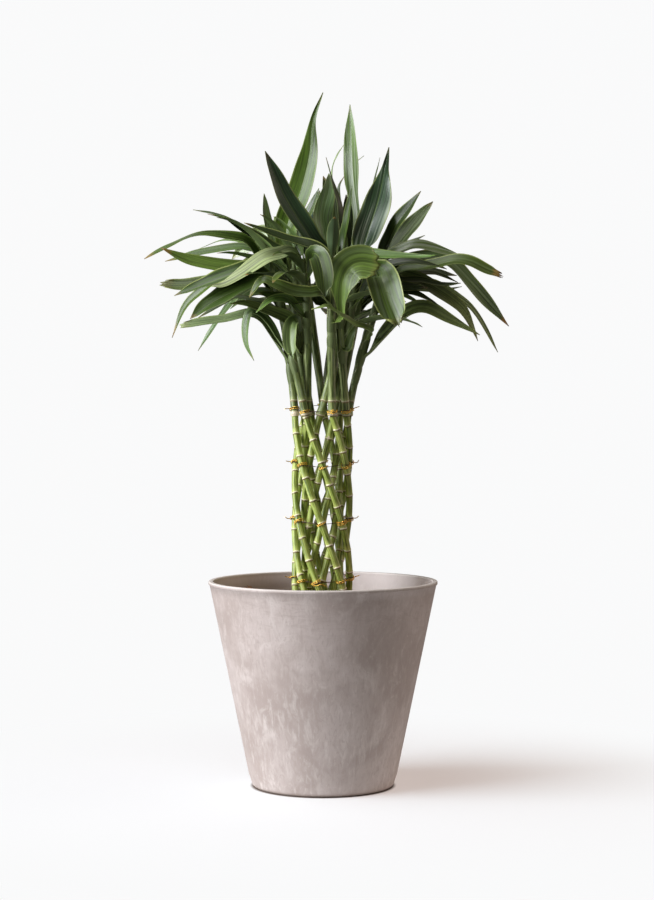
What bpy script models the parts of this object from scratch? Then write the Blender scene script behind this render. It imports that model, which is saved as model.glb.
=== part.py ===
"""Potted dracaena: canes trained as a round lattice tower, tied with gold wire, in a stone-look pot.

The object stands on z = 0 with the pot's axis on the world's Z axis. The front, the side that is
usually looked at, faces -Y. All lengths are metres.
"""

import math
import random
from collections import namedtuple

import bmesh
import bpy
from mathutils import Matrix, Vector
from mathutils.bvhtree import BVHTree

# Pot
POT_HEIGHT = 0.250
POT_RIM_RADIUS = 0.1400
POT_FOOT_RADIUS = 0.0875
POT_FOOT_ROUND = 0.006
POT_WALL = 0.0052
POT_FLOOR = 0.008
POT_LIP_HEIGHT = 0.0045
POT_LIP_STEP = 0.0008
POT_LIP_ROUND = 0.0014
POT_SIDES = 40

# Soil and mulch
SOIL_TOP = 0.215
SOIL_SIDES = 20
MULCH_INNER_RADIUS = 0.044
MULCH_THICKNESS = 0.0055
MULCH_ROUGHNESS = 0.0013
MULCH_HEAP_ANGLE = math.radians(-132)
MULCH_HEAP_HEIGHT = 0.0185
MULCH_HEAP_SPREAD = math.radians(13)

# Cane tower
TOWER_X = -0.0010
OUTER_RADIUS = 0.0332
INNER_RADIUS = 0.0222
CANE_RADIUS = 0.00495
NODE_RADIUS = 0.00535
NODE_HALF_LENGTH = 0.0007
NODE_SPACING = 0.0268
CANE_SIDES = 6
CANE_FOOT = 0.165
CANE_BEND_START = SOIL_TOP + 0.002
CANE_BEND_END = SOIL_TOP + 0.012
CANE_TOP = 0.451
TWIST_LEVEL = 0.319
OUTER_TWIST = math.radians(-646)
INNER_TWIST = math.radians(634)
SEAT_GAP = 0.0003

# Wire ties
TIE_HEIGHTS = (0.254, 0.325, 0.394, 0.460)
TIE_TILT = 0.0040
WRAP_WIRE_RADIUS = 0.0013
SPAN_WIRE_RADIUS = 0.0006
WRAP_STEP = math.radians(48)
WIRE_END_LENGTH = 0.0050
WIRE_END_DROP = 0.0020
WIRE_END_RADIUS = 0.0008

# Leafy shoots
SHOOT_TOP = 0.642
SHOOT_RADIUS = 0.0053
SHOOT_TIP_RADIUS = 0.0034
# How thick a shoot is along its height: (part of its height, part of SHOOT_RADIUS)
SHOOT_PROFILE = ((0.03, 1.0), (0.10, 1.0), (0.22, 0.96), (0.40, 1.08), (0.60, 1.0), (0.80, 0.85))
SHEATH_RUN = 0.012
BLADE_THICKNESS = 0.0008
BLADE_CLEARANCE = 0.0006
BLADE_TIP_WIDTH = 0.0009
MERGE_DISTANCE = 0.000002
TROUGH_BASE = 0.30
TROUGH_TIP = 0.10

# Front view: the crown is laid out in dots of the view from an eye in front of the pot
EYE_DISTANCE = 2.60
EYE_HEIGHT = 0.50
DOT = 0.0012227
AXIS_DOT = 323.0
GROUND_DOT = 785.0

SEED = 20

# A stem: its name, whether it is in the outer layer, its angle round the tower at TWIST_LEVEL (0 is the
# front, plus is to the right), how far its shoot turns on, its shoot's top radius, and the offset of its
# lowest node
Stem = namedtuple("Stem", "name outer angle turn top_radius node_offset")
STEMS = (
    Stem("01", True, 0, -25, 0.062, 0.011),
    Stem("02", True, 48, -32, 0.068, 0.004),
    Stem("03", True, 107, -10, 0.060, 0.017),
    Stem("04", True, 148, -40, 0.053, 0.022),
    Stem("05", True, 190, -12, 0.085, 0.008),
    Stem("06", True, -132, -20, 0.064, 0.014),
    Stem("07", True, -92, -26, 0.060, 0.001),
    Stem("08", True, -56, -9, 0.062, 0.019),
    Stem("09", False, -46.6, 45, 0.045, 0.006),
    Stem("10", False, -1.6, 35, 0.036, 0.013),
    Stem("11", False, 43.4, 27, 0.034, 0.021),
    Stem("12", False, 88.4, 36, 0.042, 0.003),
    Stem("13", False, 133.4, 45, 0.042, 0.016),
    Stem("14", False, 178.4, 37, 0.040, 0.009),
    Stem("15", False, -136.6, 22, 0.042, 0.024),
    Stem("16", False, -91.6, 75, 0.030, 0.012),
)

# Outlines of a leaf: (part of its length, part of its greatest width)
OUTLINES = {
    "pointed": ((0.0, 0.12), (0.12, 0.3), (0.28, 0.78), (0.45, 1.0), (0.62, 0.96), (0.8, 0.7),
               (0.92, 0.36), (1.0, 0.03)),
    "whip": ((0.0, 0.12), (0.12, 0.3), (0.28, 0.8), (0.42, 1.0), (0.56, 0.92), (0.7, 0.48), (0.8, 0.24),
            (0.9, 0.16), (1.0, 0.03)),
    "necked": ((0.0, 0.12), (0.12, 0.3), (0.28, 0.8), (0.44, 1.0), (0.6, 0.8), (0.72, 0.34),
              (0.78, 0.32), (0.88, 0.56), (0.95, 0.38), (1.0, 0.03)),
    "blunt": ((0.0, 0.12), (0.12, 0.3), (0.28, 0.72), (0.5, 1.0), (0.75, 0.98), (0.92, 0.9),
             (1.0, 0.66)),
    "flame": ((0.0, 0.12), (0.12, 0.3), (0.3, 0.62), (0.48, 0.9), (0.62, 1.0), (0.72, 0.82),
             (0.81, 0.36), (0.9, 0.17), (1.0, 0.03)),
    "lance": ((0.0, 0.12), (0.2, 0.28), (0.4, 0.58), (0.58, 1.0), (0.72, 0.97), (0.86, 0.58),
             (1.0, 0.03)),
    "hood": ((0.0, 0.12), (0.34, 0.24), (0.5, 0.56), (0.62, 0.94), (0.75, 1.0), (0.9, 0.94),
            (1.0, 0.68)),
    "drop": ((0.0, 0.12), (0.22, 0.22), (0.42, 0.6), (0.62, 0.98), (0.78, 1.0), (0.92, 0.74),
            (1.0, 0.22)),
}

# A leaf that shows from the front: its stem, how far up the shoot it grows (0 to 1), its midrib as (dot
# across, dot down, depth in mm with minus nearer the eye), its width in mm, how far the blade is turned
# from facing the eye at its base and at its tip, which face the eye sees (1 upper, -1 under), its outline
# and its segments
Seen = namedtuple("Seen", "stem at midrib width turn_base turn_tip face outline segments",
                  defaults=(1, "pointed", 7))
SEEN_LEAVES = (
    # Upright leaves over the middle
    Seen("16", 0.88, ((332, 256, -22), (318, 245, -30), (307, 230, -36), (285, 195, -42),
          (265, 151, -44)), 28, 45, 30),
    Seen("13", 0.92, ((284, 250, 14), (287, 222, 18), (300, 190, 22), (309, 155, 24), (313, 120, 22),
          (323, 92, 18)), 32, 25, 15, 1, "flame", 10),
    Seen("01", 0.93, ((272, 240, 28), (268, 228, 32), (265, 205, 36), (264, 193, 38)), 18, 55, 50, 1,
          "pointed", 5),
    Seen("11", 0.9, ((330, 250, 24), (325, 230, 20), (323, 215, 18), (328, 190, 16), (329, 173, 15)),
          28, 30, 25),
    Seen("04", 0.94, ((341, 248, -22), (341, 225, -16), (339, 205, -12), (335, 190, -9),
          (326, 157, -4)), 22, 66, 66, 1, "whip", 7),
    Seen("10", 0.92, ((355, 235, 20), (357, 213, 24), (353, 182, 28), (351, 140, 30), (350, 104, 30)),
          23, 42, 38, 1, "lance", 7),
    Seen("09", 0.9, ((358, 258, -8), (367, 232, -6), (378, 200, 0), (385, 168, 6), (389, 147, 8)), 37,
          30, 5, 1, "flame", 9),
    Seen("06", 0.95, ((366, 245, 40), (371, 210, 46), (375, 179, 50), (380, 157, 52)), 16, 62, 62, 1,
          "whip", 6),
    Seen("05", 0.9, ((382, 256, 0), (392, 231, -6), (400, 218, -10), (421, 191, -14)), 22, 54, 48, 1,
          "pointed", 6),
    Seen("06", 0.86, ((388, 254, 38), (397, 243, 42), (415, 221, 48), (433, 201, 52)), 28, 50, 34, 1,
          "pointed", 6),
    Seen("10", 0.8, ((378, 257, 26), (390, 252, 30), (400, 246, 32), (412, 241, 34), (425, 235, 36)),
          16, 66, 60, 1, "pointed", 5),
    Seen("07", 0.97, ((338, 235, 58), (333, 200, 60), (332, 170, 62), (337, 155, 62), (344, 144, 62)),
          14, 60, 60, 1, "whip"),
    Seen("07", 0.9, ((350, 235, 64), (349, 190, 68), (354, 165, 70), (364, 155, 72)), 13, 60, 60, 1,
          "whip", 6),
    Seen("11", 0.97, ((346, 250, 40), (341, 215, 42), (339, 188, 42), (344, 176, 42)), 15, 55, 55, 1,
          "pointed", 6),
    Seen("11", 0.82, ((350, 255, 44), (352, 235, 48), (349, 212, 50), (346, 194, 50)), 26, 20, 20, 1,
          "pointed", 5),
    # Leaves that spread to the left
    Seen("01", 0.78, ((262, 262, 14), (248, 242, 8), (235, 237, 5), (200, 234, 0), (168, 246, -4),
          (144, 259, -6)), 22, 62, 60, 1, "necked", 10),
    Seen("13", 0.82, ((285, 254, 8), (270, 246, 6), (240, 227, 4), (222, 216, 4), (193, 209.5, 6)), 23,
          60, 60, 1, "whip", 8),
    Seen("03", 0.9, ((330, 257, -52), (320, 249, -50), (300, 243, -48), (280, 237, -46),
          (244, 223, -40)), 24, 64, 64),
    Seen("01", 0.62, ((262, 268, 4), (245, 269, 0), (225, 267, -4), (205, 264, -8), (185, 259, -10),
          (161, 248, -12)), 30, 50, 48),
    Seen("08", 0.84, ((272, 255, 48), (252, 249, 44), (235, 247, 42), (203, 252, 36), (165, 261, 30)),
          20, 68, 62),
    Seen("08", 0.92, ((275, 250, 62), (262, 246, 66), (240, 240, 70), (220, 240, 72), (197, 249, 74)),
          13, 60, 60, 1, "whip", 6),
    Seen("08", 0.97, ((280, 246, 62), (268, 236, 72), (256, 237, 84), (240, 250, 96), (232, 258, 100)),
          28, 20, 10, -1),
    Seen("15", 0.9, ((293, 252, -42), (280, 254, -50), (265, 258, -58), (245, 272, -66),
          (225, 284, -70), (211, 287, -72)), 27, 52, 46, -1),
    Seen("02", 0.92, ((264, 262, -26), (255, 265, -28), (238, 270, -30), (210, 281, -32),
          (174, 296, -34)), 26, 60, 58),
    Seen("01", 0.52, ((262, 277, 6), (240, 279, 2), (215, 281, 0), (200, 283, 0), (180, 285, -2),
          (161, 284, -2)), 23, 58, 56, 1, "blunt"),
    Seen("13", 0.6, ((270, 268, 18), (250, 268, 22), (225, 273, 22), (200, 291, 20), (184, 307, 18),
          (172, 337, 14)), 18, 55, 55),
    Seen("02", 0.8, ((262, 273, -36), (250, 281, -40), (235, 289, -44), (210, 303, -50),
          (190, 319, -54)), 32, 50, 46),
    Seen("01", 0.45, ((272, 281, 6), (255, 284, 6), (240, 292, 6), (220, 304, 4), (197, 318, 2)), 19,
          60, 60, 1, "pointed", 6),
    Seen("01", 0.3, ((286, 358, 4), (270, 331, 0), (262, 320, -2), (252, 314.5, -4), (240, 315.5, -6),
          (220, 320, -8), (181, 326, -12)), 22, 62, 56, 1, "blunt", 9),
    Seen("02", 0.36, ((285, 350, -26), (270, 325, -28), (259, 313, -28), (250, 311, -27),
          (246, 325, -26), (247, 345, -25), (254, 361, -24)), 16, 60, 56, 1, "pointed", 9),
    Seen("08", 0.62, ((268, 274, 48), (250, 280, 54), (232, 300, 60), (212, 328, 66), (198, 350, 70)),
          18, 55, 55, -1, "pointed", 6),
    Seen("14", 0.36, ((299, 352, -14), (295, 336, -18), (289, 321, -22), (275, 314, -26),
          (260, 309, -28), (245, 304, -30), (229, 304, -32)), 24, 54, 54, 1, "pointed", 8),
    Seen("03", 0.62, ((322, 294, -66), (310, 294, -72), (293, 292, -76), (275, 285, -78),
          (262, 281, -78), (249, 298, -76)), 26, 56, 54, 1, "pointed", 7),
    Seen("15", 0.66, ((303, 300, -38), (293, 300, -44), (275, 297, -48), (258, 293, -52)), 24, 60, 60,
          -1, "pointed", 5),
    # Leaves that spread to the right
    Seen("05", 0.82, ((385, 258, 4), (400, 250, 8), (415, 245, 10), (435, 248, 14), (465, 258, 18)), 24,
          66, 62, -1),
    Seen("05", 0.74, ((400, 271, -8), (420, 267, -12), (440, 263, -14), (455, 260, -16),
          (470, 262, -18), (485, 269, -20), (501, 276, -22)), 23, 60, 60, 1, "blunt", 8),
    Seen("05", 0.78, ((400, 263, 20), (430, 258, 24), (450, 262, 26), (470, 282, 28), (492, 308, 30),
          (509, 326, 32)), 30, 56, 54, 1, "pointed", 8),
    Seen("06", 0.7, ((385, 277, 26), (412, 278, 20), (440, 292, 16), (460, 308, 12), (471, 325, 10),
          (478, 341, 8)), 27, 56, 54),
    Seen("06", 0.76, ((392, 276, 40), (430, 283, 42), (455, 295, 44), (475, 312, 46), (498, 352, 46)),
          19, 60, 58),
    Seen("05", 0.3, ((370, 352, 2), (385, 333, -4), (397, 320, -8), (412, 310, -10), (428, 309, -12),
          (450, 320, -14), (480, 335, -16)), 27, 60, 58, 1, "pointed", 8),
    Seen("05", 0.6, ((388, 288, 14), (396, 291, 18), (408, 297, 22), (426, 307, 26)), 12, 64, 64, 1,
          "pointed", 5),
    Seen("09", 0.64, ((370, 283, -8), (385, 284, -6), (405, 287, -2), (428, 288, 2)), 25, 56, 56, 1,
          "pointed", 6),
    Seen("05", 0.66, ((392, 281, 8), (405, 280, 10), (420, 280, 12), (440, 284, 14), (461, 283, 16)),
          18, 66, 62, 1, "pointed", 5),
    Seen("06", 0.56, ((382, 280, 52), (400, 275, 58), (425, 271, 64), (457, 275, 68)), 25, 58, 58, 1,
          "pointed", 6),
    Seen("04", 0.8, ((346, 259, -36), (360, 254, -38), (390, 255, -40), (420, 257, -42),
          (437, 255, -43)), 21, 62, 62),
    # Leaves over the front of the tower's top
    Seen("03", 0.52, ((341, 318, -62), (341, 300, -70), (342, 283, -78), (348, 269, -84),
          (360, 263, -86), (379, 266, -86)), 33, 20, 8, 1, "hood", 9),
    Seen("15", 0.74, ((311, 266, -44), (312, 254, -54), (318, 256, -66), (322, 268, -78),
          (324, 282, -84), (325, 297, -86)), 25, 22, 10, 1, "drop", 8),
    Seen("09", 0.6, ((370, 282, -28), (378, 272, -46), (383, 280, -62), (390, 303, -70),
          (399, 326, -74)), 38, 16, 8, 1, "drop", 8),
    Seen("09", 0.8, ((366, 262, -34), (376, 262, -64), (381, 276, -84), (383, 298, -90)), 12, 20, 16, 1,
          "pointed", 6),
    Seen("05", 0.42, ((371, 331, -20), (355, 324, -52), (345, 318, -66), (328, 307, -82),
          (320, 308, -86), (311, 310, -88)), 15, 66, 62, -1),
    Seen("04", 0.42, ((347, 348, -38), (351, 337, -41), (356, 325, -43)), 12, 24, 20, 1, "pointed", 4),
)

# A leaf that the front view hides: its stem, how far up it grows, the way it points (0 is the front, plus
# to the right), its rise from level at its base, how far it droops along its length, its length and its
# width in mm
Hidden = namedtuple("Hidden", "stem at azimuth rise droop length width")
HIDDEN_SEGMENTS = 6
HIDDEN_LEAVES = (
    Hidden("07", 0.88, 172, 62, 70, 175, 28),
    Hidden("07", 0.74, 200, 42, 72, 195, 29),
    Hidden("07", 0.64, 160, 36, 66, 180, 26),
    Hidden("07", 0.56, 184, 24, 40, 150, 24),
    Hidden("12", 0.96, 150, 80, 20, 105, 22),
    Hidden("12", 0.82, 226, 46, 60, 125, 24),
    Hidden("13", 0.88, 188, 58, 60, 165, 27),
    Hidden("13", 0.66, 206, 40, 54, 165, 25),
    Hidden("11", 0.74, 150, 52, 62, 175, 27),
    Hidden("11", 0.62, 168, 36, 50, 165, 24),
    Hidden("08", 0.74, 214, 44, 62, 170, 27),
    Hidden("08", 0.54, 200, 28, 48, 160, 24),
    Hidden("06", 0.64, 138, 38, 62, 170, 26),
    Hidden("06", 0.52, 158, 26, 46, 155, 24),
    Hidden("13", 0.72, 232, 48, 62, 165, 24),
    Hidden("10", 0.54, 130, 42, 60, 150, 24),
    Hidden("02", 0.92, -60, 66, 64, 105, 18),
    Hidden("02", 0.62, -78, 34, 58, 105, 22),
    Hidden("14", 0.95, -50, 70, 50, 84, 16),
    Hidden("14", 0.70, -95, 46, 66, 110, 20),
    Hidden("15", 0.97, -20, 76, 50, 70, 15),
    Hidden("15", 0.78, -28, 40, 84, 95, 20),
    Hidden("03", 0.97, 4, 74, 50, 66, 15),
    Hidden("04", 0.66, 62, 34, 70, 100, 20),
    Hidden("09", 0.52, 76, 28, 60, 105, 22),
    Hidden("11", 0.98, 175, 76, 40, 120, 20),
    Hidden("14", 0.80, -72, 60, 70, 92, 20),
    Hidden("13", 0.76, -118, 52, 60, 120, 24),
    Hidden("15", 0.86, -62, 58, 84, 78, 18),
)


def polar(radius, angle, z, centre_x=0.0):
    """Point at an angle round the Z axis, with 0 at the front and plus towards +X."""
    return Vector((centre_x + radius * math.sin(angle), -radius * math.cos(angle), z))


def front_view(across, down, depth):
    """Point that the front view shows at a dot, at a depth in mm behind the pot's axis."""
    reach = 1.0 + depth * 0.001 / EYE_DISTANCE
    x = (across - AXIS_DOT) * DOT * reach
    z = EYE_HEIGHT + ((GROUND_DOT - down) * DOT - EYE_HEIGHT) * reach
    return Vector((x, depth * 0.001, z))


def smooth(t):
    """Eased step from 0 to 1."""
    t = min(max(t, 0.0), 1.0)
    return t * t * (3.0 - 2.0 * t)


def spline(points, count):
    """Points evenly spaced along a smooth curve through the given points."""
    padded = [2 * points[0] - points[1], *points, 2 * points[-1] - points[-2]]
    fine = []
    for p0, p1, p2, p3 in zip(padded, padded[1:], padded[2:], padded[3:]):
        steps = 12
        for step in range(steps):
            t = step / steps
            fine.append(0.5 * (2 * p1 + (p2 - p0) * t + (2 * p0 - 5 * p1 + 4 * p2 - p3) * t ** 2
                               + (3 * p1 - p0 - 3 * p2 + p3) * t ** 3))
    fine.append(points[-1].copy())
    reach = [0.0]
    for a, b in zip(fine, fine[1:]):
        reach.append(reach[-1] + (b - a).length)
    even = []
    k = 0
    for i in range(count):
        goal = reach[-1] * i / (count - 1)
        while k < len(fine) - 2 and reach[k + 1] < goal:
            k += 1
        part = (goal - reach[k]) / max(reach[k + 1] - reach[k], 1e-9)
        even.append(fine[k].lerp(fine[k + 1], min(part, 1.0)))
    return even


def tangents(route):
    """Unit directions along a route."""
    found = []
    for i in range(len(route)):
        ahead = route[min(i + 1, len(route) - 1)]
        behind = route[max(i - 1, 0)]
        found.append((ahead - behind).normalized())
    return found


def material(name, colour, roughness, metallic=0.0):
    """Principled material with one colour."""
    made = bpy.data.materials.new(name)
    made.use_nodes = True
    shader = made.node_tree.nodes["Principled BSDF"]
    shader.inputs["Base Color"].default_value = (*colour, 1.0)
    shader.inputs["Roughness"].default_value = roughness
    shader.inputs["Metallic"].default_value = metallic
    made.diffuse_color = (*colour, 1.0)
    return made


def add_object(name, vertices, faces, finish, smooth_angle=None):
    """Object with its own mesh, its faces turned outwards."""
    mesh = bpy.data.meshes.new(name)
    mesh.from_pydata([tuple(v) for v in vertices], [], faces)
    bm = bmesh.new()
    bm.from_mesh(mesh)
    bmesh.ops.recalc_face_normals(bm, faces=bm.faces)
    bm.to_mesh(mesh)
    bm.free()
    mesh.materials.append(finish)
    if smooth_angle is not None:
        mesh.shade_smooth()
        mesh.set_sharp_from_angle(angle=math.radians(smooth_angle))
    made = bpy.data.objects.new(name, mesh)
    bpy.context.scene.collection.objects.link(made)
    return made


def turned(profile, sides):
    """Closed solid turned round the Z axis from an open profile whose ends lie on the axis."""
    vertices = [Vector((0, 0, profile[0][1]))]
    faces = []
    for radius, z in profile[1:-1]:
        for k in range(sides):
            vertices.append(polar(radius, 2 * math.pi * k / sides, z))
    vertices.append(Vector((0, 0, profile[-1][1])))
    rings = len(profile) - 2
    last = len(vertices) - 1
    for k in range(sides):
        n = (k + 1) % sides
        faces.append((0, 1 + n, 1 + k))
        faces.append((last, 1 + (rings - 1) * sides + k, 1 + (rings - 1) * sides + n))
        for r in range(rings - 1):
            a = 1 + r * sides
            b = a + sides
            faces.append((a + k, a + n, b + n, b + k))
    return vertices, faces


def tube(route, radii, sides, closed=False, upright=Vector((0, 0, 1)), first_way=None, last_way=None):
    """Closed tube along a route, joined to itself or with flat ends that may be squared to a given way."""
    vertices = []
    count = len(route)
    if closed:
        ways = [(route[(i + 1) % count] - route[i - 1]).normalized() for i in range(count)]
    else:
        ways = tangents(route)
        ways[0] = first_way or ways[0]
        ways[-1] = last_way or ways[-1]
    for i, (point, way) in enumerate(zip(route, ways)):
        side = way.cross(upright)
        if side.length < 0.2:
            side = way.cross(Vector((0, 1, 0)))
        side.normalize()
        over = side.cross(way)
        for k in range(sides):
            turn = 2 * math.pi * (k + 0.5) / sides
            vertices.append(point + radii[i] * (side * math.cos(turn) + over * math.sin(turn)))
    faces = []
    for i in range(count if closed else count - 1):
        a = i * sides
        b = (i + 1) % count * sides
        for k in range(sides):
            n = (k + 1) % sides
            faces.append((a + k, a + n, b + n, b + k))
    if not closed:
        faces.append(tuple(range(sides)))
        faces.append(tuple(reversed(range((count - 1) * sides, count * sides))))
    return vertices, faces


def wall_radius(z):
    """Outer radius of the pot's straight wall."""
    return POT_FOOT_RADIUS + (POT_RIM_RADIUS - POT_LIP_STEP - POT_FOOT_RADIUS) * z / POT_HEIGHT


def add_pot(finish):
    """Tapered pot with a rounded foot edge, a flat floor and a slightly thicker lip."""
    lip = POT_HEIGHT - POT_LIP_HEIGHT
    inner_lip = POT_RIM_RADIUS - POT_WALL - 2 * POT_LIP_STEP
    slope = 0.5 * POT_LIP_ROUND
    profile = [(0.0, 0.0)]
    for k in range(4):
        turn = math.radians(30 * k)
        radius = wall_radius(0) - POT_FOOT_ROUND * (1 - math.sin(turn))
        profile.append((radius, POT_FOOT_ROUND * (1 - math.cos(turn))))
    profile.append((wall_radius(lip), lip))
    profile.append((POT_RIM_RADIUS, lip + slope))
    profile.append((POT_RIM_RADIUS, POT_HEIGHT - POT_LIP_ROUND))
    profile.append((POT_RIM_RADIUS - POT_LIP_ROUND, POT_HEIGHT))
    profile.append((inner_lip + POT_LIP_ROUND, POT_HEIGHT))
    profile.append((inner_lip, POT_HEIGHT - POT_LIP_ROUND))
    profile.append((inner_lip, lip + slope))
    profile.append((wall_radius(lip) - POT_WALL, lip - slope))
    profile.append((wall_radius(POT_FLOOR) - POT_WALL, POT_FLOOR))
    profile.append((0.0, POT_FLOOR))
    vertices, faces = turned(profile, POT_SIDES)
    return add_object("pot", vertices, faces, finish, 35)


def cane_angle(stem, z):
    """Angle of a cane round the tower at a height."""
    twist = OUTER_TWIST if stem.outer else INNER_TWIST
    return math.radians(stem.angle) + twist * (z - TWIST_LEVEL)


def cane_point(stem, z):
    """Centre of a cane at a height: wound above the soil, straight down in it."""
    radius = OUTER_RADIUS if stem.outer else INNER_RADIUS
    if z >= CANE_BEND_END:
        level = z
    elif z <= CANE_BEND_START:
        level = 0.5 * (CANE_BEND_START + CANE_BEND_END)
    else:
        ease = (z - CANE_BEND_START) / (CANE_BEND_END - CANE_BEND_START)
        level = 0.5 * (CANE_BEND_START + CANE_BEND_END + (CANE_BEND_END - CANE_BEND_START) * ease * ease)
    return polar(radius, cane_angle(stem, level), z, TOWER_X)


def cane_nodes(stem):
    """Heights of the node rings on a cane."""
    heights = []
    z = CANE_BEND_END + 0.004 + stem.node_offset
    while z < CANE_TOP - 0.010:
        heights.append(z)
        z += NODE_SPACING
    return heights


def cane_top_way(stem):
    """Direction of a cane at its top, which squares its cut and the foot of its shoot."""
    return (cane_point(stem, CANE_TOP) - cane_point(stem, CANE_TOP - 0.001)).normalized()


def add_cane(stem, finish):
    """Bare cane with a raised ring at each node, standing in the soil."""
    levels = [(CANE_FOOT, CANE_RADIUS), (CANE_BEND_START, CANE_RADIUS),
              (0.5 * (CANE_BEND_START + CANE_BEND_END), CANE_RADIUS), (CANE_BEND_END, CANE_RADIUS)]
    for z in cane_nodes(stem):
        levels.append((z - NODE_HALF_LENGTH, CANE_RADIUS))
        levels.append((z + NODE_HALF_LENGTH, NODE_RADIUS))
    levels.append((CANE_TOP, CANE_RADIUS))
    route = [cane_point(stem, z) for z, _ in levels]
    radii = [radius for _, radius in levels]
    vertices, faces = tube(route, radii, CANE_SIDES, False, Vector((0, 1, 0)), None, cane_top_way(stem))
    return add_object(f"cane_{stem.name}", vertices, faces, finish, 40)


def add_soil(finish):
    """Soil that fills the pot, with a plain hole for each cane."""
    inner = wall_radius(POT_FLOOR) - POT_WALL - 2 * SEAT_GAP
    outer = wall_radius(SOIL_TOP) - POT_WALL - 2 * SEAT_GAP
    underside = POT_FLOOR + SEAT_GAP
    profile = [(0.0, underside), (inner, underside), (outer, SOIL_TOP), (0.0, SOIL_TOP)]
    vertices, faces = turned(profile, SOIL_SIDES)
    soil = add_object("potting_soil", vertices, faces, finish)
    holes = bpy.data.collections.new("cane_holes")
    bpy.context.scene.collection.children.link(holes)
    for stem in STEMS:
        foot = cane_point(stem, CANE_FOOT - SEAT_GAP)
        head = Vector((foot.x, foot.y, SOIL_TOP + 0.01))
        radii = [CANE_RADIUS + SEAT_GAP] * 2
        vertices, faces = tube([foot, head], radii, CANE_SIDES, False, Vector((0, 1, 0)))
        hole = add_object(f"hole_{stem.name}", vertices, faces, finish)
        bpy.context.scene.collection.objects.unlink(hole)
        holes.objects.link(hole)
    combine(soil, holes, "DIFFERENCE")
    return soil


def add_mulch(finish, draw):
    """Coir mulch: a bumpy ring on the soil, heaped against the wall at the back left."""
    steps = 4
    underside = SOIL_TOP + SEAT_GAP
    vertices = []
    faces = []
    for k in range(SOIL_SIDES):
        angle = 2 * math.pi * k / SOIL_SIDES
        off = math.remainder(angle - MULCH_HEAP_ANGLE, 2 * math.pi) / MULCH_HEAP_SPREAD
        rows = []
        for r in range(steps + 1):
            part = r / steps
            height = MULCH_THICKNESS * (0.55 + 0.45 * math.sin(math.pi * min(part + 0.2, 1.0)))
            height += draw.uniform(-MULCH_ROUGHNESS, MULCH_ROUGHNESS)
            height += MULCH_HEAP_HEIGHT * math.exp(-off * off) * part ** 3
            rows.append((part, underside + height))
        for part, z in rows:
            edge = wall_radius(z) - POT_WALL - 2 * SEAT_GAP
            base = MULCH_INNER_RADIUS + draw.uniform(-MULCH_ROUGHNESS, MULCH_ROUGHNESS) * (part == 0)
            vertices.append(polar(base + (edge - base) * part, angle, z))
        foot = wall_radius(underside) - POT_WALL - 2 * SEAT_GAP
        vertices.append(polar(foot, angle, underside))
        vertices.append(polar(MULCH_INNER_RADIUS, angle, underside))
    row = steps + 3
    for k in range(SOIL_SIDES):
        a = k * row
        b = (k + 1) % SOIL_SIDES * row
        for r in range(row):
            n = (r + 1) % row
            faces.append((a + r, a + n, b + n))
            faces.append((a + r, b + n, b + r))
    return add_object("coir_mulch", vertices, faces, finish)


def closed(mesh):
    """Whether every edge of a mesh has two faces."""
    bm = bmesh.new()
    bm.from_mesh(mesh)
    whole = all(len(edge.link_faces) == 2 for edge in bm.edges)
    bm.free()
    return whole


def combine(base, parts, operation):
    """Joins or cuts a base object with a collection's objects, then removes the collection.

    The exact solver leaves an open edge in a few shoots, which the manifold solver then joins.
    """
    change = base.modifiers.new("combine", "BOOLEAN")
    change.operation = operation
    change.operand_type = "COLLECTION"
    change.collection = parts
    for solver in ("EXACT", "MANIFOLD"):
        change.solver = solver
        graph = bpy.context.evaluated_depsgraph_get()
        made = bpy.data.meshes.new_from_object(base.evaluated_get(graph))
        if closed(made):
            break
    base.modifiers.remove(change)
    old = base.data
    name = old.name
    base.data = made
    bpy.data.meshes.remove(old)
    made.name = name
    for item in list(parts.objects):
        bpy.data.objects.remove(item)
    bpy.data.collections.remove(parts)
    bm = bmesh.new()
    bm.from_mesh(made)
    bmesh.ops.dissolve_degenerate(bm, edges=bm.edges, dist=MERGE_DISTANCE)
    bmesh.ops.triangulate(bm, faces=[f for f in bm.faces if len(f.verts) > 4])
    bm.to_mesh(made)
    bm.free()


def shoot_point(stem, at):
    """Centre of a shoot from its foot on the cane (0) to its top (1)."""
    start = CANE_TOP
    radius = OUTER_RADIUS if stem.outer else INNER_RADIUS
    turn = math.radians(stem.turn) * (1 - (1 - at) ** 2)
    spread = radius + (stem.top_radius - radius) * at ** 1.3
    return polar(spread, cane_angle(stem, start) + turn, start + (SHOOT_TOP - start) * at, TOWER_X)


def shoot_parts(stem):
    """Route and radii of a sheathed shoot."""
    route = [shoot_point(stem, 0.0) + cane_top_way(stem) * SEAT_GAP]
    radii = [SHOOT_RADIUS]
    for at, part in SHOOT_PROFILE:
        route.append(shoot_point(stem, at))
        radii.append(SHOOT_RADIUS * part)
    route.append(shoot_point(stem, 1.0))
    radii.append(SHOOT_TIP_RADIUS)
    return route, radii


def blade_width(along, outline):
    """Width of a leaf along its length, as a part of its greatest width."""
    knots = OUTLINES[outline]
    for (a, wide_a), (b, wide_b) in zip(knots, knots[1:]):
        if along <= b:
            return wide_a + (wide_b - wide_a) * (along - a) / (b - a)
    return knots[-1][1]


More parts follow.
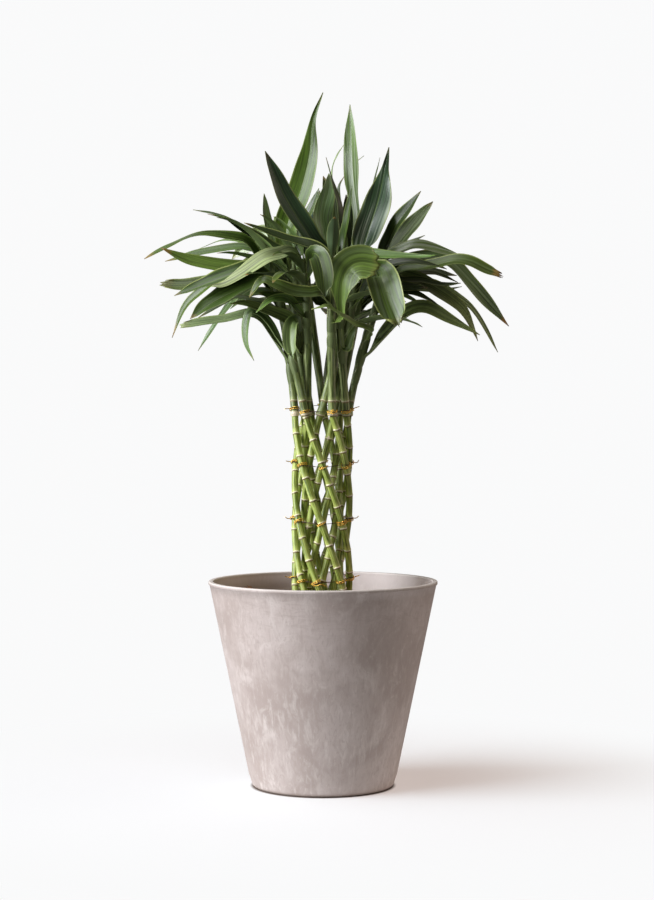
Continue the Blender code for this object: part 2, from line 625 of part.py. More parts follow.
def blade(route, across, over, width, outline, thickness):
    """Thin leaf blade: a shallow trough of even thickness, split into triangles alike on both faces."""
    vertices = []
    count = len(route)
    for i, (point, side, normal) in enumerate(zip(route, across, over)):
        along = i / (count - 1)
        wide = max(width * blade_width(along, outline), BLADE_TIP_WIDTH)
        trough = wide * (TROUGH_BASE + (TROUGH_TIP - TROUGH_BASE) * smooth(along * 1.6))
        half = 0.5 * thickness * normal
        lift = trough * 0.5 * normal
        left = point - side * 0.5 * wide + lift
        right = point + side * 0.5 * wide + lift
        middle = point - lift
        for spot in (left, middle, right):
            vertices.append(spot + half)
        for spot in (left, middle, right):
            vertices.append(spot - half)
    faces = []
    for i in range(count - 1):
        a = 6 * i
        b = a + 6
        for j in (0, 1):
            faces.append((a + j, a + j + 1, b + j + 1))
            faces.append((a + j, b + j + 1, b + j))
            faces.append((a + j + 3, b + j + 4, a + j + 4))
            faces.append((a + j + 3, b + j + 3, b + j + 4))
        for low, high in ((0, 3), (5, 2)):
            faces.append((a + low, b + low, b + high))
            faces.append((a + low, b + high, a + high))
    last = 6 * (count - 1)
    for base, flip in ((0, False), (last, True)):
        for j in (0, 1):
            quad = (base + j, base + j + 3, base + j + 4, base + j + 1)
            faces.append(tuple(reversed(quad)) if flip else quad)
    return vertices, faces


def seen_frame(route, turn_base, turn_tip, face):
    """Width and normal directions of a leaf that shows from the front."""
    ways = tangents(route)
    facings = []
    for point, way in zip(route, ways):
        to_eye = (Vector((0, -EYE_DISTANCE, EYE_HEIGHT)) - point).normalized()
        facings.append((to_eye - way * to_eye.dot(way)).normalized())
    choices = []
    for sign in (1, -1):
        normals = []
        for i, (way, facing) in enumerate(zip(ways, facings)):
            turn = math.radians(turn_base + (turn_tip - turn_base) * i / (len(route) - 1))
            normals.append(Matrix.Rotation(sign * turn, 3, way) @ facing)
        choices.append(normals)
    choices.sort(key=lambda normals: sum(normal.z for normal in normals))
    over = choices[1] if face > 0 else [-normal for normal in choices[0]]
    return [way.cross(normal).normalized() for way, normal in zip(ways, over)], over


def hidden_frame(route, azimuth):
    """Width and normal directions of a leaf that arches in an upright plane."""
    side = polar(1.0, azimuth + math.pi / 2, 0.0)
    over = [side.cross(way).normalized() for way in tangents(route)]
    if sum(normal.z for normal in over) < 0:
        over = [-normal for normal in over]
    return [way.cross(normal).normalized() for way, normal in zip(tangents(route), over)], over


def seen_route(stem, leaf, shift):
    """Midrib of a leaf that shows from the front, bent nearer or further by a shift in mm at its tip."""
    root = shoot_point(stem, leaf.at)
    lean = (shoot_point(stem, min(leaf.at + 0.05, 1.0)) - shoot_point(stem, leaf.at - 0.05)).normalized()
    points = [root, root + lean * SHEATH_RUN]
    count = len(leaf.midrib)
    for i, (across, down, depth) in enumerate(leaf.midrib):
        points.append(front_view(across, down, depth + shift * (0.35 + 0.65 * i / (count - 1))))
    return spline(points, leaf.segments + 1)


def hidden_route(stem, leaf, turn, lift):
    """Midrib of a leaf that the front view hides, turned aside and lifted by two angles in degrees."""
    azimuth = math.radians(leaf.azimuth + turn)
    points = [shoot_point(stem, leaf.at)]
    steps = 10
    for k in range(steps):
        part = (k + 0.5) / steps
        upright = (86 - leaf.rise) * max(0.0, 1 - 5 * part) ** 2
        slope = math.radians(leaf.rise + lift + upright - leaf.droop * part ** 1.3)
        step = polar(math.cos(slope), azimuth, math.sin(slope)) * (leaf.length * 0.001 / steps)
        points.append(points[-1] + step)
    return spline(points, HIDDEN_SEGMENTS + 1), azimuth


def surface(vertices, faces):
    """Search tree over a solid's faces."""
    return BVHTree.FromPolygons([tuple(v) for v in vertices], faces)


def seen_choices():
    """Shifts in depth that a leaf tries, the smallest first."""
    yield 0
    for size in range(4, 101, 4):
        yield -size
        yield size


def hidden_choices():
    """Turns and lifts that a leaf tries, the smallest first."""
    yield 0, 0
    for size in range(5, 61, 5):
        yield size, 0
        yield -size, 0
        yield 0, size * 0.6
        yield 0, -size * 0.6
        yield size, size * 0.5
        yield -size, -size * 0.5


def grow_leaves(fixed):
    """Every leaf's mesh, each bent clear of the other shoots' stems and leaves.

    The fixed solids are search trees by node name. Returns a list of (stem, name, vertices, faces).
    """
    stems = {stem.name: stem for stem in STEMS}
    placed = []
    grown = []
    for number, leaf in enumerate((*SEEN_LEAVES, *HIDDEN_LEAVES)):
        stem = stems[leaf.stem]
        shown = isinstance(leaf, Seen)
        best = None
        for choice in seen_choices() if shown else hidden_choices():
            if shown:
                route = seen_route(stem, leaf, choice)
                across, over = seen_frame(route, leaf.turn_base, leaf.turn_tip, leaf.face)
                outline = leaf.outline
            else:
                route, azimuth = hidden_route(stem, leaf, *choice)
                across, over = hidden_frame(route, azimuth)
                outline = "pointed"
            width = leaf.width * 0.001
            wide, wide_faces = blade(route, across, over, width + 2 * BLADE_CLEARANCE, outline,
                                     BLADE_THICKNESS + 2 * BLADE_CLEARANCE)
            test = surface(wide, wide_faces)
            if any(test.overlap(tree) for name, tree in fixed if name != stem.name):
                continue
            if any(test.overlap(tree) for name, tree, _ in placed if name != stem.name):
                continue
            outer = surface(wide[12:], [tuple(v - 12 for v in f) for f in wide_faces if min(f) >= 12])
            own = sum(1 for name, _, tree in placed if name == stem.name and outer.overlap(tree))
            if best is None or own < best[0]:
                best = (own, route, across, over, outline, width)
            if own == 0:
                break
        if best is None:
            continue
        own, route, across, over, outline, width = best
        vertices, faces = blade(route, across, over, width, outline, BLADE_THICKNESS)
        tip = surface(vertices[12:], [tuple(v - 12 for v in f) for f in faces if min(f) >= 12])
        placed.append((stem.name, surface(vertices, faces), tip))
        grown.append((stem.name, f"leaf_{number}", vertices, faces))
    return grown


def add_tie(number, height, finish):
    """Gold wire tie: a loop that wraps the outside of each outer stem, with two twisted ends."""
    centres = []
    for stem in STEMS:
        if not stem.outer:
            continue
        z = height
        for _ in range(3):
            angle = cane_angle(stem, z)
            z = height - TIE_TILT * math.cos(angle)
        if z > CANE_TOP:
            centre = shoot_point(stem, (z - CANE_TOP) / (SHOOT_TOP - CANE_TOP))
        else:
            centre = cane_point(stem, z)
        centres.append((math.atan2(centre.x - TOWER_X, -centre.y) % (2 * math.pi), centre))
    centres.sort(key=lambda item: item[0])
    route = []
    radii = []
    wrap = (NODE_RADIUS + SEAT_GAP + WRAP_WIRE_RADIUS) / math.cos(0.5 * WRAP_STEP)
    for angle, centre in centres:
        for k in (-2, -1, 0, 1, 2):
            turn = angle + WRAP_STEP * k
            route.append(centre + Vector((math.sin(turn), -math.cos(turn), 0)) * wrap)
            radii.append(WRAP_WIRE_RADIUS if abs(k) < 2 else SPAN_WIRE_RADIUS)
    vertices, faces = tube(route, radii, 4, True)
    tie = add_object(f"wire_tie_{number}", vertices, faces, finish)
    ends = bpy.data.collections.new("wire_ends")
    bpy.context.scene.collection.children.link(ends)
    for way in (-1, 1):
        start = max(route, key=lambda p: p.x * way)
        tip = start + Vector((way * WIRE_END_LENGTH, -WIRE_END_DROP, WIRE_END_DROP * way))
        root = start - Vector((way * 0.5 * WIRE_END_RADIUS, 0, 0))
        vertices, faces = tube([root, tip], [WIRE_END_RADIUS, SPAN_WIRE_RADIUS], 4)
        end = add_object(f"wire_end_{number}_{way}", vertices, faces, finish)
        bpy.context.scene.collection.objects.unlink(end)
        ends.objects.link(end)
    combine(tie, ends, "UNION")
    return tie


def main():
    """Builds the pot, the soil, the tower of canes, its ties and its leafy shoots."""
    for item in list(bpy.data.objects):
        bpy.data.objects.remove(item)
    draw = random.Random(SEED)
    stone = material("stone_look", (0.40, 0.36, 0.33), 0.75)
    earth = material("soil", (0.05, 0.03, 0.02), 0.95)
    coir = material("coir", (0.32, 0.14, 0.05), 0.90)
    green = material("cane_green", (0.16, 0.26, 0.05), 0.40)
    leaf_green = material("leaf_green", (0.05, 0.14, 0.04), 0.38)
    gold = material("gold_wire", (0.75, 0.46, 0.10), 0.30, 1.0)
    add_pot(stone)
    add_soil(earth)
    add_mulch(coir, draw)
    for stem in STEMS:
        add_cane(stem, green)
    for number, height in enumerate(TIE_HEIGHTS, 1):
        add_tie(number, height, gold)
    fixed = []
    shoots = {}
    for stem in STEMS:
        route, radii = shoot_parts(stem)
        vertices, faces = tube(route, radii, CANE_SIDES, False, Vector((0, 1, 0)), cane_top_way(stem))
        shoots[stem.name] = add_object(f"leafy_shoot_{stem.name}", vertices, faces, leaf_green)
        fixed.append((stem.name, surface(vertices, faces)))
    leaves = grow_leaves(fixed)
    for name, shoot in shoots.items():
        group = bpy.data.collections.new(f"leaves_{name}")
        bpy.context.scene.collection.children.link(group)
        for owner, leaf_name, vertices, faces in leaves:
            if owner != name:
                continue
            leaf = add_object(leaf_name, vertices, faces, leaf_green)
            bpy.context.scene.collection.objects.unlink(leaf)
            group.objects.link(leaf)
        combine(shoot, group, "UNION")


main()
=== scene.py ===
"""Looks of the potted dracaena: lattice tower of canes, leafy crown, gold wire ties and stone-look planter.

Z is up, the planter's foot stands on z = 0 and the front faces -Y. Lengths are metres unless a name says mm.
"""

import logging
import math
import random
from collections.abc import Iterable, Iterator, Sequence
from dataclasses import dataclass
from enum import Enum
from typing import NamedTuple

import bpy
from mathutils import Matrix, Vector, noise
from mathutils.bvhtree import BVHTree


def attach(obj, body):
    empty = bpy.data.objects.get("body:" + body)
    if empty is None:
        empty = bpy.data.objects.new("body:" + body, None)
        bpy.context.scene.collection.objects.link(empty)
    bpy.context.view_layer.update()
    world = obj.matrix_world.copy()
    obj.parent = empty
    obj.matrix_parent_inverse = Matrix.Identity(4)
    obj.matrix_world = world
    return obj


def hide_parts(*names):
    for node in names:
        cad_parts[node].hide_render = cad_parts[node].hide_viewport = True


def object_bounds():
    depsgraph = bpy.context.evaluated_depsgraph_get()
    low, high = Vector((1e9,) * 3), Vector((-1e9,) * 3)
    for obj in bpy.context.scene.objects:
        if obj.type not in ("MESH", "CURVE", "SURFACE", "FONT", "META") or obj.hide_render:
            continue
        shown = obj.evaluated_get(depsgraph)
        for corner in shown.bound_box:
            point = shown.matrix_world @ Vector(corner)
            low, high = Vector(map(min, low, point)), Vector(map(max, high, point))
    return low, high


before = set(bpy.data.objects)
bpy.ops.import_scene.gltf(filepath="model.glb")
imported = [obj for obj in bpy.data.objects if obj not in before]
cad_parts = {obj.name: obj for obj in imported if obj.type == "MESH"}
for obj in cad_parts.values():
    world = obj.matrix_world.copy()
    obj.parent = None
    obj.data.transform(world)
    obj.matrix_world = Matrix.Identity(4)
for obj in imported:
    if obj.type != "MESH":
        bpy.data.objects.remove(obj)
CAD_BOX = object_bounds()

LOG = logging.getLogger("potted_dracaena")
BODY = "root"
SEED = 20
TURN = 2 * math.pi

Colour = tuple[float, float, float]
Socket = bpy.types.NodeSocket
Material = bpy.types.Material
Piece = bpy.types.Object
Value = float | tuple | Socket
Route = Sequence[Vector]
Pair = tuple[float, float]


class Tone(Enum):
    """Base colours of the living leaves, as linear red, green and blue."""

    # Painted light in part: the paler tones, such as SILVER, are also given to some leaves that lie in shade
    # so that they show paler.
    DEEP = (0.021, 0.038, 0.006)
    DARK = (0.036, 0.066, 0.010)
    DEEP_BLUE = (0.026, 0.060, 0.026)
    MID = (0.054, 0.100, 0.010)
    BRIGHT = (0.048, 0.098, 0.008)
    FRESH = (0.114, 0.198, 0.032)
    OLIVE = (0.062, 0.104, 0.014)
    GREY = (0.087, 0.136, 0.037)
    SAGE = (0.160, 0.238, 0.072)
    SILVER = (0.245, 0.338, 0.140)


class Outline(Enum):
    """Outlines of a leaf, as pairs of a part of its length and a part of its greatest width."""

    POINTED = ((0, 0.12), (0.12, 0.3), (0.28, 0.78), (0.45, 1), (0.62, 0.96), (0.8, 0.7), (0.92, 0.36),
               (1, 0.03))
    WHIP = ((0, 0.12), (0.12, 0.3), (0.28, 0.8), (0.42, 1), (0.56, 0.92), (0.7, 0.48), (0.8, 0.24),
            (0.9, 0.16), (1, 0.03))
    NECKED = ((0, 0.12), (0.12, 0.3), (0.28, 0.8), (0.44, 1), (0.6, 0.8), (0.72, 0.34), (0.78, 0.32),
              (0.88, 0.56), (0.95, 0.38), (1, 0.03))
    BLUNT = ((0, 0.12), (0.12, 0.3), (0.28, 0.72), (0.5, 1), (0.75, 0.98), (0.92, 0.9), (1, 0.66))
    FLAME = ((0, 0.12), (0.12, 0.3), (0.3, 0.62), (0.48, 0.9), (0.62, 1), (0.72, 0.82), (0.81, 0.36),
             (0.9, 0.17), (1, 0.03))
    LANCE = ((0, 0.12), (0.2, 0.28), (0.4, 0.58), (0.58, 1), (0.72, 0.97), (0.86, 0.58), (1, 0.03))
    HOOD = ((0, 0.12), (0.34, 0.24), (0.5, 0.56), (0.62, 0.94), (0.75, 1), (0.9, 0.94), (1, 0.68))
    DROP = ((0, 0.12), (0.22, 0.22), (0.42, 0.6), (0.62, 0.98), (0.78, 1), (0.92, 0.74), (1, 0.22))
    TONGUE = ((0, 0.16), (0.12, 0.48), (0.27, 0.88), (0.44, 1), (0.6, 0.88), (0.73, 0.56), (0.83, 0.27),
              (0.92, 0.14), (1, 0.03))


class Look(NamedTuple):
    """How one leaf looks.

    That is its tone, how far it has a light margin, a dry tip and pale streaks of painted sheen, its outline
    where it isn't the one that clears the others, how deeply it is folded, and how much wider it is than the
    blade that clears the others.
    """

    tone: Tone
    edge: float
    dry: float
    sheen_streaks: float
    outline: Outline | None = None
    fold: float = 1
    breadth: float = 1


class Stem(NamedTuple):
    """A cane and its shoot.

    The angle is at the twist level, with 0 at the front and plus to the right. The turn is how far the
    shoot winds on, and the node offset is that of the lowest node ring.
    """

    name: str
    outer: bool
    angle: float
    turn: float
    top_radius: float
    node_offset: float


class Seen(NamedTuple):
    """A leaf that shows from the front.

    The midrib is given as dots across, dots down and a depth in mm with minus nearer the eye. The width is
    in mm, the turns say how far the blade is turned from facing the eye, and the face is 1 for the upper
    face and -1 for the underside.
    """

    stem: str
    at: float
    midrib: tuple[tuple[float, float, float], ...]
    width: float
    turn_base: float
    turn_tip: float
    segments: int
    look: Look
    outline: Outline = Outline.POINTED
    face: int = 1


class Hidden(NamedTuple):
    """A leaf that the front view hides, with the way it points, its rise and droop, and its sizes in mm."""

    stem: str
    at: float
    azimuth: float
    rise: float
    droop: float
    length: float
    width: float
    look: Look
    outline: Outline = Outline.POINTED


Leaf = Seen | Hidden


STEMS = (
    Stem("01", True, 0, -25, 0.062, 0.011),
    Stem("02", True, 48, -32, 0.068, 0.004),
    Stem("03", True, 107, -10, 0.060, 0.017),
    Stem("04", True, 148, -40, 0.053, 0.022),
    Stem("05", True, 190, -12, 0.085, 0.008),
    Stem("06", True, -132, -20, 0.064, 0.014),
    Stem("07", True, -92, -26, 0.060, 0.001),
    Stem("08", True, -56, -9, 0.062, 0.019),
    Stem("09", False, -46.6, 45, 0.045, 0.006),
    Stem("10", False, -1.6, 35, 0.036, 0.013),
    Stem("11", False, 43.4, 27, 0.034, 0.021),
    Stem("12", False, 88.4, 36, 0.042, 0.003),
    Stem("13", False, 133.4, 45, 0.042, 0.016),
    Stem("14", False, 178.4, 37, 0.040, 0.009),
    Stem("15", False, -136.6, 22, 0.042, 0.024),
    Stem("16", False, -91.6, 75, 0.030, 0.012),
)

SEEN_LEAVES = (
    # Upright leaves over the middle
    Seen("16", 0.88, ((332, 256, -22), (318, 245, -30), (307, 230, -36), (285, 195, -42), (265, 151, -44)),
         28, 45, 30, 7, Look(Tone.DEEP_BLUE, 0.4, 0.1, 0.05)),
    Seen("13", 0.92, ((284, 250, 14), (287, 222, 18), (300, 190, 22), (309, 155, 24), (313, 120, 22),
         (323, 92, 18)),
         32, 25, 15, 10, Look(Tone.BRIGHT, 0.1, 0.1, 0, Outline.TONGUE, 0.2), Outline.FLAME),
    Seen("01", 0.93, ((272, 240, 28), (268, 228, 32), (265, 205, 36), (264, 193, 38)),
         18, 55, 50, 5, Look(Tone.SILVER, 0.3, 0.1, 0)),
    Seen("11", 0.9, ((330, 250, 24), (325, 230, 20), (323, 215, 18), (328, 190, 16), (329, 173, 15)),
         28, 30, 25, 7, Look(Tone.SILVER, 0.3, 0.1, 0.4)),
    Seen("04", 0.94, ((341, 248, -22), (341, 225, -16), (339, 205, -12), (335, 190, -9), (326, 157, -4)),
         22, 66, 66, 7, Look(Tone.DARK, 0.1, 0.3, 0), Outline.WHIP),
    Seen("10", 0.92, ((355, 235, 20), (357, 213, 24), (353, 182, 28), (351, 140, 30), (350, 104, 30)),
         23, 42, 38, 7, Look(Tone.GREY, 0.1, 0.1, 0.45), Outline.LANCE),
    Seen("09", 0.9, ((358, 258, -8), (367, 232, -6), (378, 200, 0), (385, 168, 6), (389, 147, 8)),
         37, 30, 5, 9, Look(Tone.DEEP_BLUE, 0.3, 0.1, 0.75, Outline.TONGUE, 0.7), Outline.FLAME),
    Seen("06", 0.95, ((366, 245, 40), (371, 210, 46), (375, 179, 50), (380, 157, 52)),
         16, 62, 62, 6, Look(Tone.MID, 0.1, 0.1, 0.1), Outline.WHIP),
    Seen("05", 0.9, ((382, 256, 0), (392, 231, -6), (400, 218, -10), (421, 191, -14)),
         22, 54, 48, 6, Look(Tone.DEEP, 0.4, 0.1, 0, fold=1.8)),
    Seen("06", 0.86, ((388, 254, 38), (397, 243, 42), (415, 221, 48), (433, 201, 52)),
         28, 50, 34, 6, Look(Tone.GREY, 0.4, 0.2, 0.2)),
    Seen("10", 0.8, ((378, 257, 26), (390, 252, 30), (400, 246, 32), (412, 241, 34), (425, 235, 36)),
         16, 66, 60, 5, Look(Tone.DARK, 0.5, 0.1, 0)),
    Seen("07", 0.97, ((338, 235, 58), (333, 200, 60), (332, 170, 62), (337, 155, 62), (344, 144, 62)),
         14, 60, 60, 7, Look(Tone.SAGE, 0.1, 0.1, 0), Outline.WHIP),
    Seen("07", 0.9, ((350, 235, 64), (349, 190, 68), (354, 165, 70), (364, 155, 72)),
         13, 60, 60, 6, Look(Tone.SAGE, 0.1, 0.1, 0), Outline.WHIP),
    Seen("11", 0.97, ((346, 250, 40), (341, 215, 42), (339, 188, 42), (344, 176, 42)),
         15, 55, 55, 6, Look(Tone.OLIVE, 0.1, 0.3, 0)),
    Seen("11", 0.82, ((350, 255, 44), (352, 235, 48), (349, 212, 50), (346, 194, 50)),
         26, 20, 20, 5, Look(Tone.DEEP, 0.1, 0.1, 0)),
    # Leaves that spread to the left
    Seen("01", 0.78, ((262, 262, 14), (248, 242, 8), (235, 237, 5), (200, 234, 0), (168, 246, -4),
         (144, 259, -6)), 22, 62, 60, 10, Look(Tone.MID, 0.3, 0.4, 0), Outline.NECKED),
    Seen("13", 0.82, ((285, 254, 8), (270, 246, 6), (240, 227, 4), (222, 216, 4), (193, 209.5, 6)),
         23, 60, 60, 8, Look(Tone.DARK, 0.2, 0.1, 0.2), Outline.WHIP),
    Seen("03", 0.9, ((330, 257, -52), (320, 249, -50), (300, 243, -48), (280, 237, -46), (244, 223, -40)),
         24, 64, 64, 7, Look(Tone.DEEP, 0.7, 0.3, 0)),
    Seen("01", 0.62, ((262, 268, 4), (245, 269, 0), (225, 267, -4), (205, 264, -8), (185, 259, -10),
         (161, 248, -12)), 30, 50, 48, 7, Look(Tone.FRESH, 0.2, 0.5, 0)),
    Seen("08", 0.84, ((272, 255, 48), (252, 249, 44), (235, 247, 42), (203, 252, 36), (165, 261, 30)),
         20, 68, 62, 7, Look(Tone.GREY, 0.2, 0.4, 0.1)),
    Seen("08", 0.92, ((275, 250, 62), (262, 246, 66), (240, 240, 70), (220, 240, 72), (197, 249, 74)),
         13, 60, 60, 6, Look(Tone.SAGE, 0.1, 0.1, 0), Outline.WHIP),
    Seen("08", 0.97, ((280, 246, 62), (268, 236, 72), (256, 237, 84), (240, 250, 96), (232, 258, 100)),
         28, 20, 10, 7, Look(Tone.SAGE, 0.2, 0.2, 0.6), face=-1),
    Seen("15", 0.9, ((293, 252, -42), (280, 254, -50), (265, 258, -58), (245, 272, -66), (225, 284, -70),
         (211, 287, -72)), 27, 52, 46, 7, Look(Tone.SILVER, 0.1, 0, 0.1), face=-1),
    Seen("02", 0.92, ((264, 262, -26), (255, 265, -28), (238, 270, -30), (210, 281, -32), (174, 296, -34)),
         26, 60, 58, 7, Look(Tone.DARK, 0.7, 0.2, 0.1)),
    Seen("01", 0.52, ((262, 277, 6), (240, 279, 2), (215, 281, 0), (200, 283, 0), (180, 285, -2),
         (161, 284, -2)), 23, 58, 56, 7, Look(Tone.GREY, 0.3, 0.1, 0.1), Outline.BLUNT),
    Seen("13", 0.6, ((270, 268, 18), (250, 268, 22), (225, 273, 22), (200, 291, 20), (184, 307, 18),
         (172, 337, 14)), 18, 55, 55, 7, Look(Tone.MID, 0.3, 0.4, 0)),
    Seen("02", 0.8, ((262, 273, -36), (250, 281, -40), (235, 289, -44), (210, 303, -50), (190, 319, -54)),
         32, 50, 46, 7, Look(Tone.DARK, 0.1, 0.2, 0.1)),
    Seen("01", 0.45, ((272, 281, 6), (255, 284, 6), (240, 292, 6), (220, 304, 4), (197, 318, 2)),
         19, 60, 60, 6, Look(Tone.DEEP, 0.5, 0.1, 0)),
    Seen("01", 0.3, ((286, 358, 4), (270, 331, 0), (262, 320, -2), (252, 314.5, -4), (240, 315.5, -6),
         (220, 320, -8), (181, 326, -12)), 22, 62, 56, 9, Look(Tone.SILVER, 0.5, 0.1, 0), Outline.BLUNT),
    Seen("02", 0.36, ((285, 350, -26), (270, 325, -28), (259, 313, -28), (250, 311, -27), (246, 325, -26),
         (247, 345, -25), (254, 361, -24)), 16, 60, 56, 9, Look(Tone.SAGE, 0.3, 0.2, 0.1)),
    Seen("08", 0.62, ((268, 274, 48), (250, 280, 54), (232, 300, 60), (212, 328, 66), (198, 350, 70)),
         18, 55, 55, 6, Look(Tone.GREY, 0.2, 0.1, 0.2), face=-1),
    Seen("14", 0.36, ((299, 352, -14), (295, 336, -18), (289, 321, -22), (275, 314, -26), (260, 309, -28),
         (245, 304, -30), (229, 304, -32)), 24, 54, 54, 8, Look(Tone.SAGE, 0.3, 0.1, 0)),
    Seen("03", 0.62, ((322, 294, -66), (310, 294, -72), (293, 292, -76), (275, 285, -78), (262, 281, -78),
         (249, 298, -76)), 26, 56, 54, 7, Look(Tone.OLIVE, 0.8, 0.2, 0.1)),
    Seen("15", 0.66, ((303, 300, -38), (293, 300, -44), (275, 297, -48), (258, 293, -52)),
         24, 60, 60, 5, Look(Tone.DARK, 0.1, 0.1, 0), face=-1),
    # Leaves that spread to the right
    Seen("05", 0.82, ((385, 258, 4), (400, 250, 8), (415, 245, 10), (435, 248, 14), (465, 258, 18)),
         24, 66, 62, 7, Look(Tone.GREY, 0.1, 0.1, 0.8), face=-1),
    Seen("05", 0.74, ((400, 271, -8), (420, 267, -12), (440, 263, -14), (455, 260, -16), (470, 262, -18),
         (485, 269, -20), (501, 276, -22)), 23, 60, 60, 8, Look(Tone.MID, 0.6, 0.4, 0.1), Outline.BLUNT),
    Seen("05", 0.78, ((400, 263, 20), (430, 258, 24), (450, 262, 26), (470, 282, 28), (492, 308, 30),
         (509, 326, 32)), 30, 56, 54, 8, Look(Tone.GREY, 0.6, 0.7, 0.3)),
    Seen("06", 0.7, ((385, 277, 26), (412, 278, 20), (440, 292, 16), (460, 308, 12), (471, 325, 10),
         (478, 341, 8)), 27, 56, 54, 7, Look(Tone.SAGE, 0.6, 0.1, 0.1, fold=1.6)),
    Seen("06", 0.76, ((392, 276, 40), (430, 283, 42), (455, 295, 44), (475, 312, 46), (498, 352, 46)),
         19, 60, 58, 7, Look(Tone.SILVER, 0.6, 0.1, 0)),
    Seen("05", 0.3, ((370, 352, 2), (385, 333, -4), (397, 320, -8), (412, 310, -10), (428, 309, -12),
         (450, 320, -14), (480, 335, -16)), 27, 60, 58, 8, Look(Tone.SAGE, 0.6, 0.1, 0.1, fold=1.6)),
    Seen("05", 0.6, ((388, 288, 14), (396, 291, 18), (408, 297, 22), (426, 307, 26)),
         12, 64, 64, 5, Look(Tone.SAGE, 0.1, 0.1, 0)),
    Seen("09", 0.64, ((370, 283, -8), (385, 284, -6), (405, 287, -2), (428, 288, 2)),
         25, 56, 56, 6, Look(Tone.DEEP, 0.1, 0.1, 0)),
    Seen("05", 0.66, ((392, 281, 8), (405, 280, 10), (420, 280, 12), (440, 284, 14), (461, 283, 16)),
         18, 66, 62, 5, Look(Tone.DARK, 0.6, 0.1, 0.2)),
    Seen("06", 0.56, ((382, 280, 52), (400, 275, 58), (425, 271, 64), (457, 275, 68)),
         25, 58, 58, 6, Look(Tone.DEEP, 0.2, 0.1, 0.1)),
    Seen("04", 0.8, ((346, 259, -36), (360, 254, -38), (390, 255, -40), (420, 257, -42), (437, 255, -43)),
         21, 62, 62, 7, Look(Tone.FRESH, 0.2, 0, 0.3)),
    # Leaves over the front of the tower's top
    Seen("03", 0.52, ((341, 318, -62), (341, 300, -70), (342, 283, -78), (348, 269, -84), (360, 263, -86),
         (379, 266, -86)),
         33, 20, 8, 9, Look(Tone.FRESH, 0.2, 0.1, 0.1, fold=1.2, breadth=1.25), Outline.HOOD),
    Seen("15", 0.74, ((311, 266, -44), (312, 254, -54), (318, 256, -66), (322, 268, -78), (324, 282, -84),
         (325, 297, -86)), 25, 22, 10, 8, Look(Tone.DARK, 0, 0, 0, fold=1.6), Outline.DROP),
    Seen("09", 0.6, ((370, 282, -28), (378, 272, -46), (383, 280, -62), (390, 303, -70), (399, 326, -74)),
         38, 16, 8, 8, Look(Tone.OLIVE, 0.8, 0.1, 0.2, fold=2), Outline.DROP),
    Seen("09", 0.8, ((366, 262, -34), (376, 262, -64), (381, 276, -84), (383, 298, -90)),
         12, 20, 16, 6, Look(Tone.OLIVE, 0.4, 0.8, 0.1)),
    Seen("05", 0.42, ((371, 331, -20), (355, 324, -52), (345, 318, -66), (328, 307, -82), (320, 308, -86),
         (311, 310, -88)), 15, 66, 62, 7, Look(Tone.SAGE, 0.1, 0.1, 0), face=-1),
    Seen("04", 0.42, ((347, 348, -38), (351, 337, -41), (356, 325, -43)),
         12, 24, 20, 4, Look(Tone.OLIVE, 0.3, 0.1, 0)),
)

FILL_LEAVES = (
    # Short leaves in the crown's gaps, to the right
    Seen("05", 0.68, ((396, 270, 2), (412, 264, -2), (430, 263, -4), (447, 269, -6)),
         17, 58, 54, 6, Look(Tone.DEEP, 0.2, 0.1, 0.1)),
    Seen("06", 0.62, ((390, 280, 30), (410, 272, 28), (434, 272, 24), (458, 282, 22)),
         15, 60, 56, 6, Look(Tone.DARK, 0.2, 0.1, 0.4)),
    Seen("09", 0.70, ((372, 272, -14), (390, 264, -22), (412, 261, -26), (440, 266, -26)),
         16, 58, 54, 6, Look(Tone.DEEP, 0.4, 0, 0.2)),
    Seen("06", 0.60, ((392, 285, 34), (412, 288, 30), (438, 290, 28), (462, 286, 26)),
         13, 62, 58, 6, Look(Tone.GREY, 0.2, 0, 0.7)),
    Seen("05", 0.50, ((384, 300, 8), (398, 292, 2), (418, 294, -2), (440, 306, -4)),
         15, 58, 54, 6, Look(Tone.DEEP, 0.2, 0, 0)),
    # To the left and over the middle
    Seen("14", 0.48, ((300, 334, -14), (297, 320, -22), (291, 325, -32), (290, 343, -36), (293, 359, -36)),
         17, 22, 16, 6, Look(Tone.SAGE, 0.2, 0, 0.1), Outline.DROP),
    Seen("02", 0.55, ((275, 300, -30), (262, 292, -36), (246, 296, -40), (230, 309, -42)),
         18, 56, 54, 6, Look(Tone.GREY, 0.2, 0, 0.2)),
    Seen("15", 0.55, ((300, 312, -36), (288, 300, -46), (272, 300, -54), (256, 313, -58)),
         16, 56, 52, 6, Look(Tone.FRESH, 0.4, 0, 0.1)),
    Seen("03", 0.70, ((328, 270, -60), (318, 262, -66), (304, 262, -70), (288, 273, -72)),
         17, 56, 52, 6, Look(Tone.FRESH, 0.5, 0, 0.2)),
    Seen("04", 0.86, ((342, 245, -24), (346, 222, -28), (350, 200, -30), (352, 186, -30)),
         14, 50, 50, 6, Look(Tone.DARK, 0.2, 0, 0)),
    Seen("13", 0.86, ((300, 252, 10), (303, 225, 4), (312, 205, 0), (319, 188, -2)),
         17, 50, 46, 6, Look(Tone.DARK, 0.2, 0, 0.3)),
    Seen("16", 0.70, ((318, 300, -20), (322, 280, -26), (330, 262, -30), (338, 244, -32)),
         20, 30, 26, 6, Look(Tone.DARK, 0.1, 0, 0)),
)

